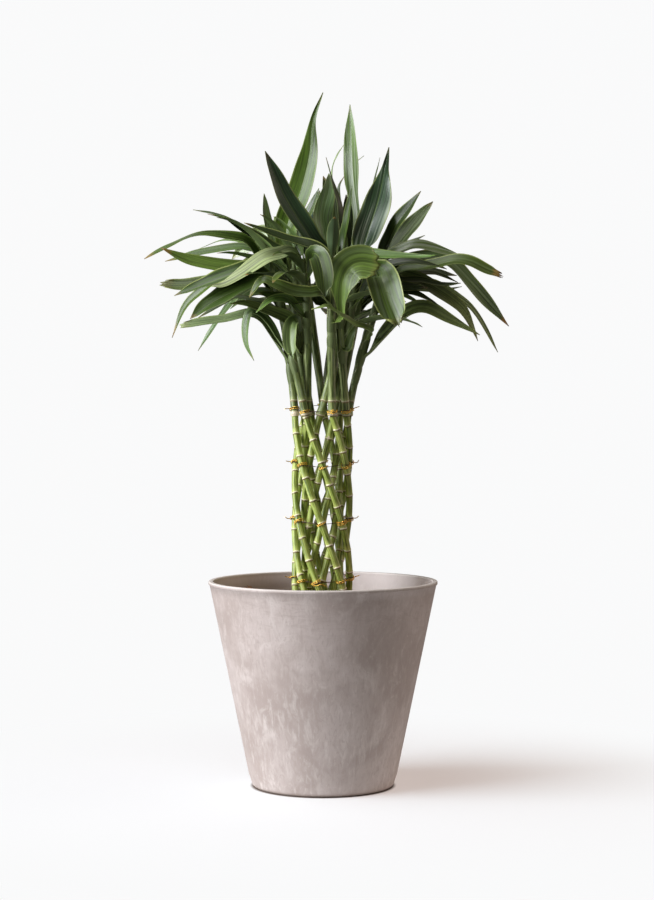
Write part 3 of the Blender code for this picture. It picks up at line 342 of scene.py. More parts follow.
HIDDEN_ROWS = (
    ("07", 0.88, 172, 62, 70, 175, 28),
    ("07", 0.74, 200, 42, 72, 195, 29),
    ("07", 0.64, 160, 36, 66, 180, 26),
    ("07", 0.56, 184, 24, 40, 150, 24),
    ("12", 0.96, 150, 80, 20, 105, 22),
    ("12", 0.82, 226, 46, 60, 125, 24),
    ("13", 0.88, 188, 58, 60, 165, 27),
    ("13", 0.66, 206, 40, 54, 165, 25),
    ("11", 0.74, 150, 52, 62, 175, 27),
    ("11", 0.62, 168, 36, 50, 165, 24),
    ("08", 0.74, 214, 44, 62, 170, 27),
    ("08", 0.54, 200, 28, 48, 160, 24),
    ("06", 0.64, 138, 38, 62, 170, 26),
    ("06", 0.52, 158, 26, 46, 155, 24),
    ("13", 0.72, 232, 48, 62, 165, 24),
    ("10", 0.54, 130, 42, 60, 150, 24),
    ("02", 0.92, -60, 66, 64, 105, 18),
    ("02", 0.62, -78, 34, 58, 105, 22),
    ("14", 0.95, -50, 70, 50, 84, 16),
    ("14", 0.70, -95, 46, 66, 110, 20),
    ("15", 0.97, -20, 76, 50, 70, 15),
    ("15", 0.78, -28, 40, 84, 95, 20),
    ("03", 0.97, 4, 74, 50, 66, 15),
    ("04", 0.66, 62, 34, 70, 100, 20),
    ("09", 0.52, 76, 28, 60, 105, 22),
    ("11", 0.98, 175, 76, 40, 120, 20),
    ("14", 0.80, -72, 60, 70, 92, 20),
    ("13", 0.76, -118, 52, 60, 120, 24),
    ("15", 0.86, -62, 58, 84, 78, 18),
)


def hidden_look(k: int) -> Look:
    """Gives the look of a hidden leaf by its row: tones, margins, dry tips and painted sheen streaks take
    turns.
    """
    tones = (Tone.MID, Tone.DARK, Tone.BRIGHT, Tone.OLIVE, Tone.DEEP_BLUE, Tone.MID, Tone.SAGE, Tone.DARK,
             Tone.GREY)
    return Look(tones[k % 9], (0.1, 0.2, 0.3)[k % 3], (0.1, 0.3, 0.5, 0.7)[k % 4], (0, 0.2)[k % 2])


HIDDEN_LEAVES = tuple(Hidden(*row, hidden_look(k)) for k, row in enumerate(HIDDEN_ROWS))


def polar(radius: float, angle: float, z: float, centre_x: float = 0) -> Vector:
    """Gives the point at a radius and an angle round an upright axis, 0 at the front and plus towards +X."""
    return Vector((centre_x + radius * math.sin(angle), -radius * math.cos(angle), z))


def smooth(t: float) -> float:
    """Eases a part from 0 to 1, held at both ends."""
    t = min(max(t, 0), 1)
    return t * t * (3 - 2 * t)


def blend(a: float, b: float, part: float) -> float:
    """Gives the value a part of the way from a to b."""
    return a + (b - a) * part


def bell(offset: float, width: float) -> float:
    """Gives a bell curve's height at an offset from its middle."""
    return math.exp(-(offset / width) ** 2)


def spline(points: Route, count: int, steps: int = 12) -> list[Vector]:
    """Spaces points evenly along a smooth curve.

    Args:
        points: What the curve runs through.
        count: How many points to give.
        steps: How many steps each stretch is measured in.

    Returns:
        The points from end to end.
    """
    padded = [2 * points[0] - points[1], *points, 2 * points[-1] - points[-2]]
    fine = []
    for p0, p1, p2, p3 in zip(padded, padded[1:], padded[2:], padded[3:]):
        for t in (step / steps for step in range(steps)):
            fine.append(0.5 * (2 * p1 + (p2 - p0) * t + (2 * p0 - 5 * p1 + 4 * p2 - p3) * t ** 2
                               + (3 * p1 - p0 - 3 * p2 + p3) * t ** 3))
    fine.append(points[-1].copy())
    reach = [0]
    for a, b in zip(fine, fine[1:]):
        reach.append(reach[-1] + (b - a).length)
    even = []
    k = 0
    for i in range(count):
        goal = reach[-1] * i / (count - 1)
        while k < len(fine) - 2 and reach[k + 1] < goal:
            k += 1
        part = (goal - reach[k]) / max(reach[k + 1] - reach[k], 1e-9)
        even.append(fine[k].lerp(fine[k + 1], min(part, 1)))
    return even


def tangents(route: Route) -> list[Vector]:
    """Gives the unit directions along a route."""
    ends = [route[0], *route, route[-1]]
    return [(ahead - behind).normalized() for behind, ahead in zip(ends, ends[2:])]


def square_to(way: Vector, side: Vector) -> Vector:
    """Gives the part of a direction that lies square to a way, as a unit."""
    return (side - way * side.dot(way)).normalized()


def transport(ways: Route, side: Vector) -> list[Vector]:
    """Carries a direction along a route without twist.

    Args:
        ways: Unit directions of the route.
        side: The direction at its start.

    Returns:
        The carried direction at each point, across the route.
    """
    carried = []
    for way in ways:
        side = square_to(way, side)
        carried.append(side)
    return carried


class Graph:
    """Writes the nodes of one tree."""

    def __init__(self, tree: bpy.types.NodeTree) -> None:
        """Takes the tree to write into."""
        self.tree = tree

    def feed(self, socket: Socket, value: Value) -> None:
        """Links a socket into an input, or sets the input's own value.

        Args:
            socket: The input.
            value: A socket, a number, a vector or a colour.
        """
        if isinstance(value, Socket):
            self.tree.links.new(value, socket)
        else:
            socket.default_value = (*value, 1) if socket.type == "RGBA" else value

    def node(self, kind: str, inputs: dict, **settings: object) -> bpy.types.Node:
        """Adds a node.

        Args:
            kind: Blender's name of the node.
            inputs: Values or sockets by the input's name or number.
            **settings: Properties of the node.

        Returns:
            The node.
        """
        made = self.tree.nodes.new(kind)
        for name, setting in settings.items():
            setattr(made, name, setting)
        for key, value in inputs.items():
            self.feed(made.inputs[key], value)
        return made

    def math(self, operation: str, a: Value, b: Value = 0) -> Socket:
        """Adds a Math node."""
        return self.node("ShaderNodeMath", {0: a, 1: b}, operation=operation).outputs[0]

    def add(self, a: Value, b: Value) -> Socket:
        """Adds two values."""
        return self.math("ADD", a, b)

    def times(self, a: Value, b: Value) -> Socket:
        """Multiplies two values."""
        return self.math("MULTIPLY", a, b)

    def absolute(self, value: Value) -> Socket:
        """Drops a value's sign."""
        return self.math("ABSOLUTE", value)

    def span(self, value: Value, low: float, high: float, start: Value = 0, end: Value = 1) -> Socket:
        """Eases a value from start, at low and past it, to end, at high and past it."""
        inputs = {"Value": value, "From Min": low, "From Max": high, "To Min": start, "To Max": end}
        return self.node("ShaderNodeMapRange", inputs, interpolation_type="SMOOTHSTEP").outputs["Result"]

    def vector(self, operation: str, inputs: dict) -> bpy.types.Node:
        """Adds a Vector Math node."""
        return self.node("ShaderNodeVectorMath", inputs, operation=operation)

    def length(self, vector: Value) -> Socket:
        """Gives a vector's length."""
        return self.vector("LENGTH", {0: vector}).outputs["Value"]

    def dimmed(self, colour: Value, factor: Value) -> Socket:
        """Multiplies a colour or a vector by one factor."""
        return self.vector("SCALE", {0: colour, "Scale": factor}).outputs[0]

    def joined(self, *parts: Value) -> Socket:
        """Makes a vector of its parts."""
        return self.node("ShaderNodeCombineXYZ", dict(enumerate(parts))).outputs[0]

    def split(self, vector: Value) -> tuple[Socket, ...]:
        """Gives a vector's three parts."""
        return tuple(self.node("ShaderNodeSeparateXYZ", {0: vector}).outputs)

    def mix(self, factor: Value, a: Value, b: Value) -> Socket:
        """Mixes colour b into colour a."""
        return self.node("ShaderNodeMix", {0: factor, 6: a, 7: b}, data_type="RGBA").outputs[2]

    def over(self, colour: Value, coat: Value, value: Value, low: float, high: float,
             part: Value = 1) -> Socket:
        """Lays a coat over a colour, from nought where a value is low to a part where it is high."""
        return self.mix(self.span(value, low, high, 0, part), colour, coat)

    def attribute(self, name: str, part: str = "Vector") -> Socket:
        """Reads one of the mesh's own attributes."""
        return self.node("ShaderNodeAttribute", {}, attribute_name=name).outputs[part]

    def place(self) -> Socket:
        """Reads the place on the object."""
        return self.node("ShaderNodeTexCoord", {}).outputs["Object"]

    def grain(self, vector: Value, scale: float | tuple, detail: float, roughness: float,
              swirl: float = 0) -> Socket:
        """Adds a noise pattern.

        Args:
            vector: Where the pattern is read.
            scale: Its fineness, or three factors that stretch it.
            detail: Its octaves.
            roughness: How strong the finer octaves are.
            swirl: How far it swirls.

        Returns:
            The pattern, from 0 to 1.
        """
        if isinstance(scale, tuple):
            vector = self.vector("MULTIPLY", {0: vector, 1: scale}).outputs[0]
            scale = 1
        inputs = {"Vector": vector, "Scale": scale, "Detail": detail, "Roughness": roughness,
                  "Distortion": swirl}
        return self.node("ShaderNodeTexNoise", inputs).outputs["Fac"]

    def bump(self, height: Value, depth: float, strength: float, under: dict | None = None) -> Socket:
        """Adds relief of a depth in metres, over the relief that is given as Normal."""
        inputs = {"Height": height, "Distance": depth, "Strength": strength, **(under or {})}
        return self.node("ShaderNodeBump", inputs).outputs["Normal"]


class Dressing(Graph):
    """Writes the nodes of one material, round its Principled shader."""

    def __init__(self, name: str) -> None:
        """Starts the material.

        Args:
            name: Its name.
        """
        self.made = bpy.data.materials.new(name)
        self.made.use_nodes = True
        super().__init__(self.made.node_tree)
        self.shader = self.tree.nodes["Principled BSDF"]

    def dress(self, inputs: dict[str, Value]) -> Material:
        """Feeds the shader.

        Args:
            inputs: Values or sockets by the input's name.

        Returns:
            The material.
        """
        for name, value in inputs.items():
            self.feed(self.shader.inputs[name], value)
        return self.made


@dataclass(frozen=True)
class StoneLook:
    """Matte warm grey composite of the planter, clouded and streaked like rubbed stone."""

    name: str = "stone_look"
    base: Colour = (0.464, 0.398, 0.372)
    dark: Colour = (0.350, 0.287, 0.260)
    light: Colour = (0.590, 0.532, 0.502)
    # Pale band of the rim's top, a painted highlight.
    wear_and_highlight: Colour = (0.780, 0.730, 0.690)
    # Paler colour of the inner wall, painted light.
    inside: Colour = (0.620, 0.565, 0.545)
    # Dark colour of the painted shade, on the inner wall near the soil and round the foot.
    painted_shade: Colour = (0.240, 0.190, 0.160)
    rim_height: float = 0.250
    rim_radius: float = 0.1392
    foot_radius: float = 0.0875
    streak_low: float = 0.055
    streak_high: float = 0.185
    skin: Pair = (0.0038, 0.0046)
    roughness: float = 0.47

    def make(self) -> Material:
        """Builds the material: clouds, wiped and upright streaks, painted light that pales the upper wall,
        the inside and the rim's top, painted shade on the inner wall near the soil and round the foot, and
        fine pits.
        """
        graph = Dressing(self.name)
        place = graph.place()
        x, y, z = graph.split(place)
        cloud = graph.grain(place, 10, 4, 0.6, 0.5)
        patch = graph.grain(place, (44, 44, 24), 5, 0.66, 1.3)
        brush = graph.grain(place, (120, 120, 17), 4, 0.62, 0.5)
        hair = graph.grain(place, (210, 210, 60), 4, 0.66, 1.2)
        wipe = graph.grain(place, (26, 26, 150), 4, 0.62, 1.6)
        streaks = graph.span(z, self.streak_high, self.streak_low, 0.14, 0.64)
        colour = graph.over(self.dark, self.base, cloud, 0.34, 0.66)
        colour = graph.over(colour, self.dark, wipe, 0.50, 0.34, graph.span(z, 0.16, 0.23, 0, 0.55))
        for coat, grain, low, high, part in (
                (self.light, patch, 0.50, 0.70, 0.42), (self.dark, patch, 0.46, 0.30, 0.50),
                (self.light, brush, 0.50, 0.72, streaks), (self.light, hair, 0.55, 0.72, 0.38),
                (self.dark, hair, 0.48, 0.37, 0.48)):
            colour = graph.over(colour, coat, grain, low, high, part)
        # Painted light: the colour grows paler towards the rim, for the brighter light on the upper wall.
        colour = graph.dimmed(colour, graph.span(z, 0.04, 0.24, 0.97, 1.10))
        flat = graph.length(graph.joined(x, y))
        slope = (self.rim_radius - self.foot_radius) / self.rim_height
        wall = graph.add(graph.times(z, slope), self.foot_radius)
        depth = graph.add(wall, graph.times(flat, -1))
        # Painted light: the inner wall is painted paler, standing in for light that reaches the inside.
        colour = graph.over(colour, self.inside, depth, *self.skin, 0.55)
        # Painted shade: the inner wall darkens towards the soil on the left, where the planter's own wall
        # shades it from the key light.
        darkening = graph.span(z, 0.247, 0.230, 0, graph.span(x, 0.01, -0.08, 0, 0.62))
        colour = graph.over(colour, self.painted_shade, depth, *self.skin, darkening)
        # Painted highlight: a pale band round the rim's top, for the light its upper face catches.
        colour = graph.over(colour, self.wear_and_highlight, z, self.rim_height - 0.0026, self.rim_height - 0.0006, 0.60)
        # Painted shadow: the planter darkens at its foot, where it meets the floor.
        colour = graph.over(colour, self.painted_shade, z, 0.0055, 0.0010, 0.75)
        pits = graph.grain(place, 900, 3, 0.7)
        rough = graph.add(graph.add(graph.times(patch, 0.20), graph.times(pits, 0.10)), self.roughness)
        relief = graph.bump(pits, 0.00025, 0.45, {"Normal": graph.bump(patch, 0.0008, 0.35)})
        return graph.dress({"Base Color": colour, "Roughness": rough, "Normal": relief})


@dataclass(frozen=True)
class PottingMix:
    """Dark, moist potting mix with paler flecks of grit."""

    name: str = "potting_mix"
    base: Colour = (0.045, 0.028, 0.018)
    light: Colour = (0.150, 0.100, 0.065)
    fleck: Colour = (0.420, 0.370, 0.300)

    def make(self) -> Material:
        """Builds the material: crumb-sized colour change, rare flecks and a rough crumbly relief."""
        graph = Dressing(self.name)
        place = graph.place()
        crumb = graph.grain(place, 210, 5, 0.7)
        darkening = graph.grain(place, 24, 3, 0.6)
        grit = graph.node("ShaderNodeTexVoronoi", {"Vector": place, "Scale": 330}).outputs["Distance"]
        colour = graph.over(self.base, self.light, crumb, 0.42, 0.68)
        colour = graph.over(colour, self.base, darkening, 0.55, 0.35, 0.5)
        colour = graph.over(colour, self.fleck, grit, 0.16, 0.10, graph.span(darkening, 0.56, 0.64))
        return graph.dress({"Base Color": colour, "Roughness": graph.span(darkening, 0.3, 0.7, 0.72, 0.96),
                            "Normal": graph.bump(crumb, 0.0022, 0.9)})


@dataclass(frozen=True)
class Coir:
    """Loose orange-brown coir, dry and fibrous."""

    name: str = "coir"
    base: Colour = (0.700, 0.310, 0.092)
    dark: Colour = (0.200, 0.080, 0.030)
    light: Colour = (0.930, 0.510, 0.180)

    def make(self) -> Material:
        """Builds the material: tangled fibre streaks, darker pith and a ropy relief."""
        graph = Dressing(self.name)
        place = graph.place()
        one_way = graph.grain(place, (900, 160, 300), 3, 0.6, 1)
        other_way = graph.grain(place, (160, 900, 300), 3, 0.6, 1)
        tuft = graph.grain(place, 62, 4, 0.6, 0.5)
        fibre = graph.math("MAXIMUM", one_way, other_way)
        colour = graph.over(self.dark, self.base, fibre, 0.48, 0.72)
        colour = graph.over(colour, self.light, tuft, 0.48, 0.70, 0.75)
        return graph.dress({"Base Color": colour, "Roughness": graph.span(tuft, 0.3, 0.7, 0.78, 0.95),
                            "Normal": graph.bump(fibre, 0.0016, 0.9)})


@dataclass(frozen=True)
class CaneBark:
    """Smooth waxy bark of a cane or a shoot.

    The attribute node_marks holds a count that is whole at each node ring, how far rings show, and how far
    the cut is healed over with cream callus. The attribute bark holds the turn round the cane as cosine and
    sine, and the mm along it.
    """

    name: str = "cane_bark"
    green: Colour = (0.340, 0.445, 0.055)
    light: Colour = (0.720, 0.780, 0.240)
    deep: Colour = (0.085, 0.130, 0.015)
    bloom: Colour = (0.470, 0.540, 0.300)
    ring: Colour = (0.860, 0.800, 0.560)
    scar: Colour = (0.130, 0.065, 0.026)
    callus: Colour = (0.800, 0.680, 0.500)
    spacing_mm: float = 26.8
    scar_drop_mm: float = 1.45
    bloom_part: float = 0.30
    streak_grain: float = 0.75

    def make(self) -> Material:
        """Builds the material: lengthwise streaks, waxy bloom, uneven node rings, dry scars and callus."""
        graph = Dressing(self.name)
        bark = graph.attribute("bark")
        count, ringed, heal = graph.split(graph.attribute("node_marks"))
        streak = graph.grain(bark, (self.streak_grain, self.streak_grain, 0.02), 3, 0.6)
        patch = graph.grain(bark, (0.25, 0.25, 0.045), 3, 0.55, 0.4)
        fleck = graph.grain(bark, (1.4, 1.4, 0.9), 2, 0.6)
        stray = graph.grain(bark, (0.16, 0.16, 0.03), 2, 0.5)
        cycle = graph.math("FRACT", graph.add(count, graph.add(graph.times(stray, 0.12), 0.44)))
        off = graph.times(graph.add(cycle, -0.5), self.spacing_mm)
        near = graph.absolute(off)
        below = graph.absolute(graph.add(off, self.scar_drop_mm))
        ring = graph.span(near, 1.05, 0.45, 0, ringed)
        fresh = graph.times(graph.span(off, -0.2, 0.5, 0, 0.45), ringed)
        scarred = graph.times(graph.span(fleck, 0.30, 0.60, 0.4, 0.9), ringed)
        colour = graph.over(self.deep, self.green, patch, 0.32, 0.68)
        for coat, value, low, high, part in (
                (self.light, streak, 0.46, 0.70, 0.72), (self.deep, streak, 0.48, 0.30, 0.75),
                (self.bloom, patch, 0.50, 0.72, self.bloom_part), (self.light, off, 8, 1, fresh),
                (self.scar, fleck, 0.68, 0.74, 0.4), (self.scar, below, 0.95, 0.30, scarred)):
            colour = graph.over(colour, coat, value, low, high, part)
        colour = graph.mix(graph.times(ring, graph.span(streak, 0.25, 0.45, 0.5, 1)), colour, self.ring)
        rare = graph.span(near, 4.5, 2, 0, graph.span(stray, 0.66, 0.72, 0, ringed))
        healed = graph.add(graph.add(heal, rare), graph.times(graph.add(fleck, -0.5), 0.9))
        colour = graph.over(colour, self.callus, healed, 0.35, 0.60)
        height = graph.add(graph.times(streak, 0.6), graph.times(ring, 0.8))
        return graph.dress({"Base Color": colour, "Roughness": graph.span(patch, 0.3, 0.7, 0.30, 0.48),
                            "Normal": graph.bump(height, 0.00030, 0.7)})


@dataclass(frozen=True)
class LivingLeaf:
    """Semi-gloss leaf blade with fine lengthwise veins.

    The attribute blade holds the mm across, the mm along and the leaf's own number. The attribute share holds
    the part across from -1 to 1, the part along and 1 on the underside. The attribute tone is the leaf's
    colour, and marks holds its light margin, dry tip and how far it has pale streaks of painted sheen.
    """

    name: str = "living_leaf"
    young: Colour = (0.230, 0.310, 0.075)
    sheath: Colour = (0.150, 0.195, 0.070)
    sheath_edge: Colour = (0.520, 0.570, 0.300)
    under: Colour = (0.185, 0.240, 0.100)
    # Pale colour of the painted sheen streaks.
    gloss: Colour = (0.520, 0.600, 0.460)
    margin: Colour = (0.400, 0.470, 0.140)
    dry: Colour = (0.420, 0.190, 0.050)
    dead: Colour = (0.110, 0.055, 0.025)
    sheath_end: Pair = (0.08, -0.02)

    def make(self) -> Material:
        """Builds the material: veins, painted sheen streaks, midrib, margins, sheath, underside and dry tip.
        """
        graph = Dressing(self.name)
        blade = graph.attribute("blade")
        u, v, under = graph.split(graph.attribute("share"))
        edge, dry, sheen_streaks = graph.split(graph.attribute("marks"))
        off = graph.absolute(u)
        vein = graph.grain(blade, (0.58, 0.008, 3.1), 3, 0.65)
        band = graph.grain(blade, (0.30, 0.006, 5.7), 3, 0.55)
        cloud = graph.grain(blade, (0.07, 0.022, 9.3), 3, 0.55, 0.4)
        light = graph.add(graph.span(vein, 0.34, 0.66, 0, 0.95), graph.times(band, 0.30))
        colour = graph.dimmed(graph.attribute("tone", "Color"), graph.add(light, graph.times(cloud, 0.80)))
        # Painted sheen: pale lengthwise streaks in the gloss colour, standing in for the sheen of glossy
        # leaves.
        pale = graph.span(v, 0.05, 0.2, 0, graph.times(sheen_streaks, 0.65))
        for coat, value, low, high, part in (
                (self.young, v, 0.34, 0.04, 0.35), (self.gloss, band, 0.46, 0.62, pale),
                (self.young, off, 0.045, 0, graph.span(v, 1, 0.6, 0.1, 0.5)),
                (self.margin, off, 0.84, 0.95, graph.add(graph.times(edge, 0.72), 0.24))):
            colour = graph.over(colour, coat, value, low, high, part)
        colour = graph.mix(graph.times(under, 0.36), colour, self.under)
        bark = graph.over(self.sheath, self.sheath_edge, off, 0.76, 0.97)
        bark = graph.dimmed(bark, graph.add(graph.times(vein, 1.5), graph.times(cloud, 0.4)))
        colour = graph.over(colour, bark, v, *self.sheath_end)
        frayed = graph.add(v, graph.times(graph.add(band, -0.5), 0.10))
        colour = graph.over(colour, self.dry, frayed, 0.925, 0.965, dry)
        colour = graph.over(colour, self.dead, frayed, 0.975, 0.995, dry)
        dull = graph.add(graph.times(vein, 0.20), graph.times(under, 0.14))
        relief = graph.add(graph.times(vein, 0.9), graph.times(band, 0.8))
        relief = graph.add(relief, graph.span(off, 0.06, 0, 0, -0.5))
        return graph.dress({"Base Color": colour,
                            "Roughness": graph.add(dull, graph.span(sheen_streaks, 0, 0.6, 0.28, 0.20)),
                            "Specular IOR Level": graph.span(sheen_streaks, 0, 0.6, 0.44, 0.58),
                            "Normal": graph.bump(relief, 0.00030, 0.65)})


@dataclass(frozen=True)
class TwistWire:
    """Drawn wire with light handling marks."""

    name: str
    colour: Colour
    # Colour of the wire's darker, duller handling marks.
    wear_and_highlight: Colour
    roughness: Pair
    metallic: float

    def make(self) -> Material:
        """Builds the material: a drawn metal with duller and darker spots."""
        graph = Dressing(self.name)
        mark = graph.grain(graph.place(), 420, 3, 0.6)
        return graph.dress({"Base Color": graph.over(self.colour, self.wear_and_highlight, mark, 0.50, 0.72, 0.7),
                            "Roughness": graph.span(mark, 0.3, 0.7, *self.roughness),
                            "Metallic": self.metallic, "Normal": graph.bump(mark, 0.00006, 0.5)})


@dataclass(frozen=True)
class StudioFloor:
    """Plain pale studio floor that runs into the white of the studio."""

    name: str = "studio_floor"
    colour: Colour = (0.448, 0.530, 0.571)
    # Painted shadow: dark colour of the floor right round the planter's foot.
    painted_contact_shadow: Colour = (0.200, 0.150, 0.120)
    bounce: Colour = (0.468, 0.390, 0.362)
    white: Colour = (0.955, 0.957, 0.960)
    foot: Pair = (0.0845, 0.0905)
    fade: Pair = (0.17, 0.62)
    glow_light: float = 0.14

    def make(self) -> Material:
        """Builds the material: matte paper with a warm bounce glow near the object, a painted contact shadow
        round the planter's foot, and plain white glow far from it.
        """
        graph = Dressing(self.name)
        place = graph.place()
        reach = graph.length(place)
        fibre = graph.grain(place, 300, 2, 0.5)
        # Painted contact shadow: round the foot the floor takes the dark colour and its glow fades out.
        clear = graph.span(reach, *self.foot)
        # Painted light: the floor is made paler towards +X to even out the key light's falloff from the left.
        pale = graph.dimmed(self.colour, graph.span(graph.split(place)[0], -0.45, 0.45, 0.97, 1.07))
        made = graph.dress({"Base Color": graph.mix(clear, self.painted_contact_shadow, pale),
                            "Roughness": graph.span(fibre, 0.3, 0.7, 0.80, 0.90),
                            "Emission Color": self.bounce, "Emission Strength": clear})
        seen = graph.node("ShaderNodeLightPath", {}).outputs["Is Camera Ray"]
        strength = graph.span(seen, 0, 1, self.glow_light, 1)
        glow = graph.node("ShaderNodeEmission", {"Color": self.white, "Strength": strength}).outputs[0]
        inputs = {0: graph.span(reach, *self.fade), 1: graph.shader.outputs[0], 2: glow}
        mixed = graph.node("ShaderNodeMixShader", inputs).outputs[0]
        graph.feed(graph.tree.nodes["Material Output"].inputs["Surface"], mixed)
        return made


class MeshDraft:
    """Vertices, edges, faces and point attributes gathered for one mesh."""

    KINDS = {1: ("FLOAT", "value"), 3: ("FLOAT_VECTOR", "vector"), 4: ("FLOAT_COLOR", "color")}

    def __init__(self) -> None:
        """Starts an empty draft."""
        self.points: list[Vector] = []
        self.edges: list[tuple[int, int]] = []
        self.faces: list[tuple[int, ...]] = []
        self.values: dict[str, list[float]] = {}

    def point(self, place: Vector, **values: float | Iterable[float]) -> int:
        """Adds a point.

        Args:
            place: Where it is.
            **values: Its value for each attribute.

        Returns:
            The point's number.
        """
        self.points.append(place)
        for name, value in values.items():
            self.values.setdefault(name, []).extend(value if isinstance(value, Iterable) else (value,))
        return len(self.points) - 1

    def circle(self, radius: float, z: float, sides: int) -> list[int]:
        """Adds a ring of points round the planter's axis and gives their numbers."""
        return [self.point(polar(radius, TURN * k / sides, z)) for k in range(sides)]

    def route(self, places: Route, **values: Sequence) -> None:
        """Adds a line of points that a sweep follows.

        Args:
            places: The points in order.
            **values: For each attribute, one value for each point.
        """
        first = len(self.points)
        for i, place in enumerate(places):
            self.point(place, **{name: listed[i] for name, listed in values.items()})
        self.edges.extend((i, i + 1) for i in range(first, len(self.points) - 1))

    def rings(self, rows: Sequence[Sequence[int]]) -> None:
        """Joins rings of points with faces.

        Args:
            rows: Numbers of the points in each ring.
        """
        for low, high in zip(rows, rows[1:]):
            for k in range(len(low)):
                n = (k + 1) % len(low)
                self.faces.append((low[k], low[n], high[n], high[k]))

    def shell(self, rows: Sequence[Sequence[int]], first: float, last: float, inward: bool = False) -> None:
        """Joins rings of points and closes the first and the last with a fan round a point on the axis.

        Args:
            rows: Numbers of the points in each ring.
            first: Height of the first fan's middle.
            last: Height of the last fan's middle.
            inward: Whether the rings run from the top down, so that the faces turn the other way.
        """
        self.rings([row[::-1] for row in rows] if inward else rows)
        low = self.point(Vector((0, 0, first)))
        high = self.point(Vector((0, 0, last)))
        for k in range(len(rows[0])):
            n = (k + 1) % len(rows[0])
            a, b = (k, n) if inward else (n, k)
            self.faces.append((low, rows[0][a], rows[0][b]))
            self.faces.append((high, rows[-1][b], rows[-1][a]))

    def make(self, name: str, finish: Material | None = None) -> Piece:
        """Builds the object.

        Args:
            name: Name of the object and its mesh.
            finish: Its material, if it has faces.

        Returns:
            The object, at the origin.
        """
        mesh = bpy.data.meshes.new(name)
        mesh.from_pydata([tuple(place) for place in self.points], self.edges, self.faces)
        for label, values in self.values.items():
            kind, part = self.KINDS[len(values) // len(self.points)]
            mesh.attributes.new(label, kind, "POINT").data.foreach_set(part, values)
        if finish is not None:
            mesh.materials.append(finish)
            mesh.shade_smooth()
        return linked(name, mesh)


def linked(name: str, data: bpy.types.ID) -> Piece:
    """Makes an object of a mesh, a light or a camera and puts it in the scene."""
    made = bpy.data.objects.new(name, data)
    bpy.context.scene.collection.objects.link(made)
    return made


def volume(mesh: bpy.types.Mesh) -> float:
    """Gives six times the volume that a mesh's faces close round, negative when they point inwards."""
    total = 0
    for face in mesh.polygons:
        corners = [mesh.vertices[i].co for i in face.vertices]
        for b, c in zip(corners[1:], corners[2:]):
            total += corners[0].dot(b.cross(c))
    return total


class GrowingTree(Graph):
    """A geometry tree with named inputs, which is grown on a source and kept as a plain mesh."""

    def __init__(self, name: str, inputs: dict[str, str]) -> None:
        """Starts the tree.

        Args:
            name: Name of the tree.
            inputs: Type of each input after the geometry, by its name.
        """
        super().__init__(bpy.data.node_groups.new(name, "GeometryNodeTree"))
        face = self.tree.interface
        for label, kind in {"Geometry": "Geometry", **inputs}.items():
            face.new_socket(name=label, in_out="INPUT", socket_type=f"NodeSocket{kind}")
        face.new_socket(name="Geometry", in_out="OUTPUT", socket_type="NodeSocketGeometry")
        self.given = self.node("NodeGroupInput", {}).outputs

    def round_section(self, sides: Value, radius: float) -> Socket:
        """Makes a round section."""
        made = self.node("GeometryNodeCurvePrimitiveCircle", {"Resolution": sides, "Radius": radius})
        return made.outputs["Curve"]

    def swept(self, line: Socket, section: Socket, scale: Socket) -> Socket:
        """Sweeps a section along a line and caps its ends."""
        inputs = {"Curve": line, "Scale": scale, "Profile Curve": section, "Fill Caps": True}
        return self.node("GeometryNodeCurveToMesh", inputs).outputs[0]

    def end(self, geometry: Socket) -> None:
        """Ends the tree with smooth, real, finished faces."""
        soft = self.node("GeometryNodeSetShadeSmooth", {"Geometry": geometry}).outputs[0]
        real = self.node("GeometryNodeRealizeInstances", {0: soft}).outputs[0]
        done = self.node("GeometryNodeSetMaterial", {"Geometry": real, "Material": self.given["Finish"]})
        self.node("NodeGroupOutput", {0: done.outputs[0]})

    def grow(self, source: Piece, name: str, **values: object) -> Piece:
        """Grows the tree on a source object, which is used up.

        Args:
            source: What the tree starts from.
            name: Name of the grown piece.
            **values: Value of each input, by its name in lower case.

        Returns:
            The grown piece with a plain mesh.
        """
        change = source.modifiers.new("grow", "NODES")
        change.node_group = self.tree
        for item in self.tree.interface.items_tree:
            if item.in_out == "INPUT" and item.name.lower() in values:
                change[item.identifier] = values[item.name.lower()]
        bpy.context.view_layer.update()
        seen = bpy.context.evaluated_depsgraph_get()
        mesh = bpy.data.meshes.new_from_object(source.evaluated_get(seen))
        old = source.data
        bpy.data.objects.remove(source)
        bpy.data.meshes.remove(old)
        if volume(mesh) < 0:
            mesh.flip_normals()
        mesh.name = name
        return linked(name, mesh)


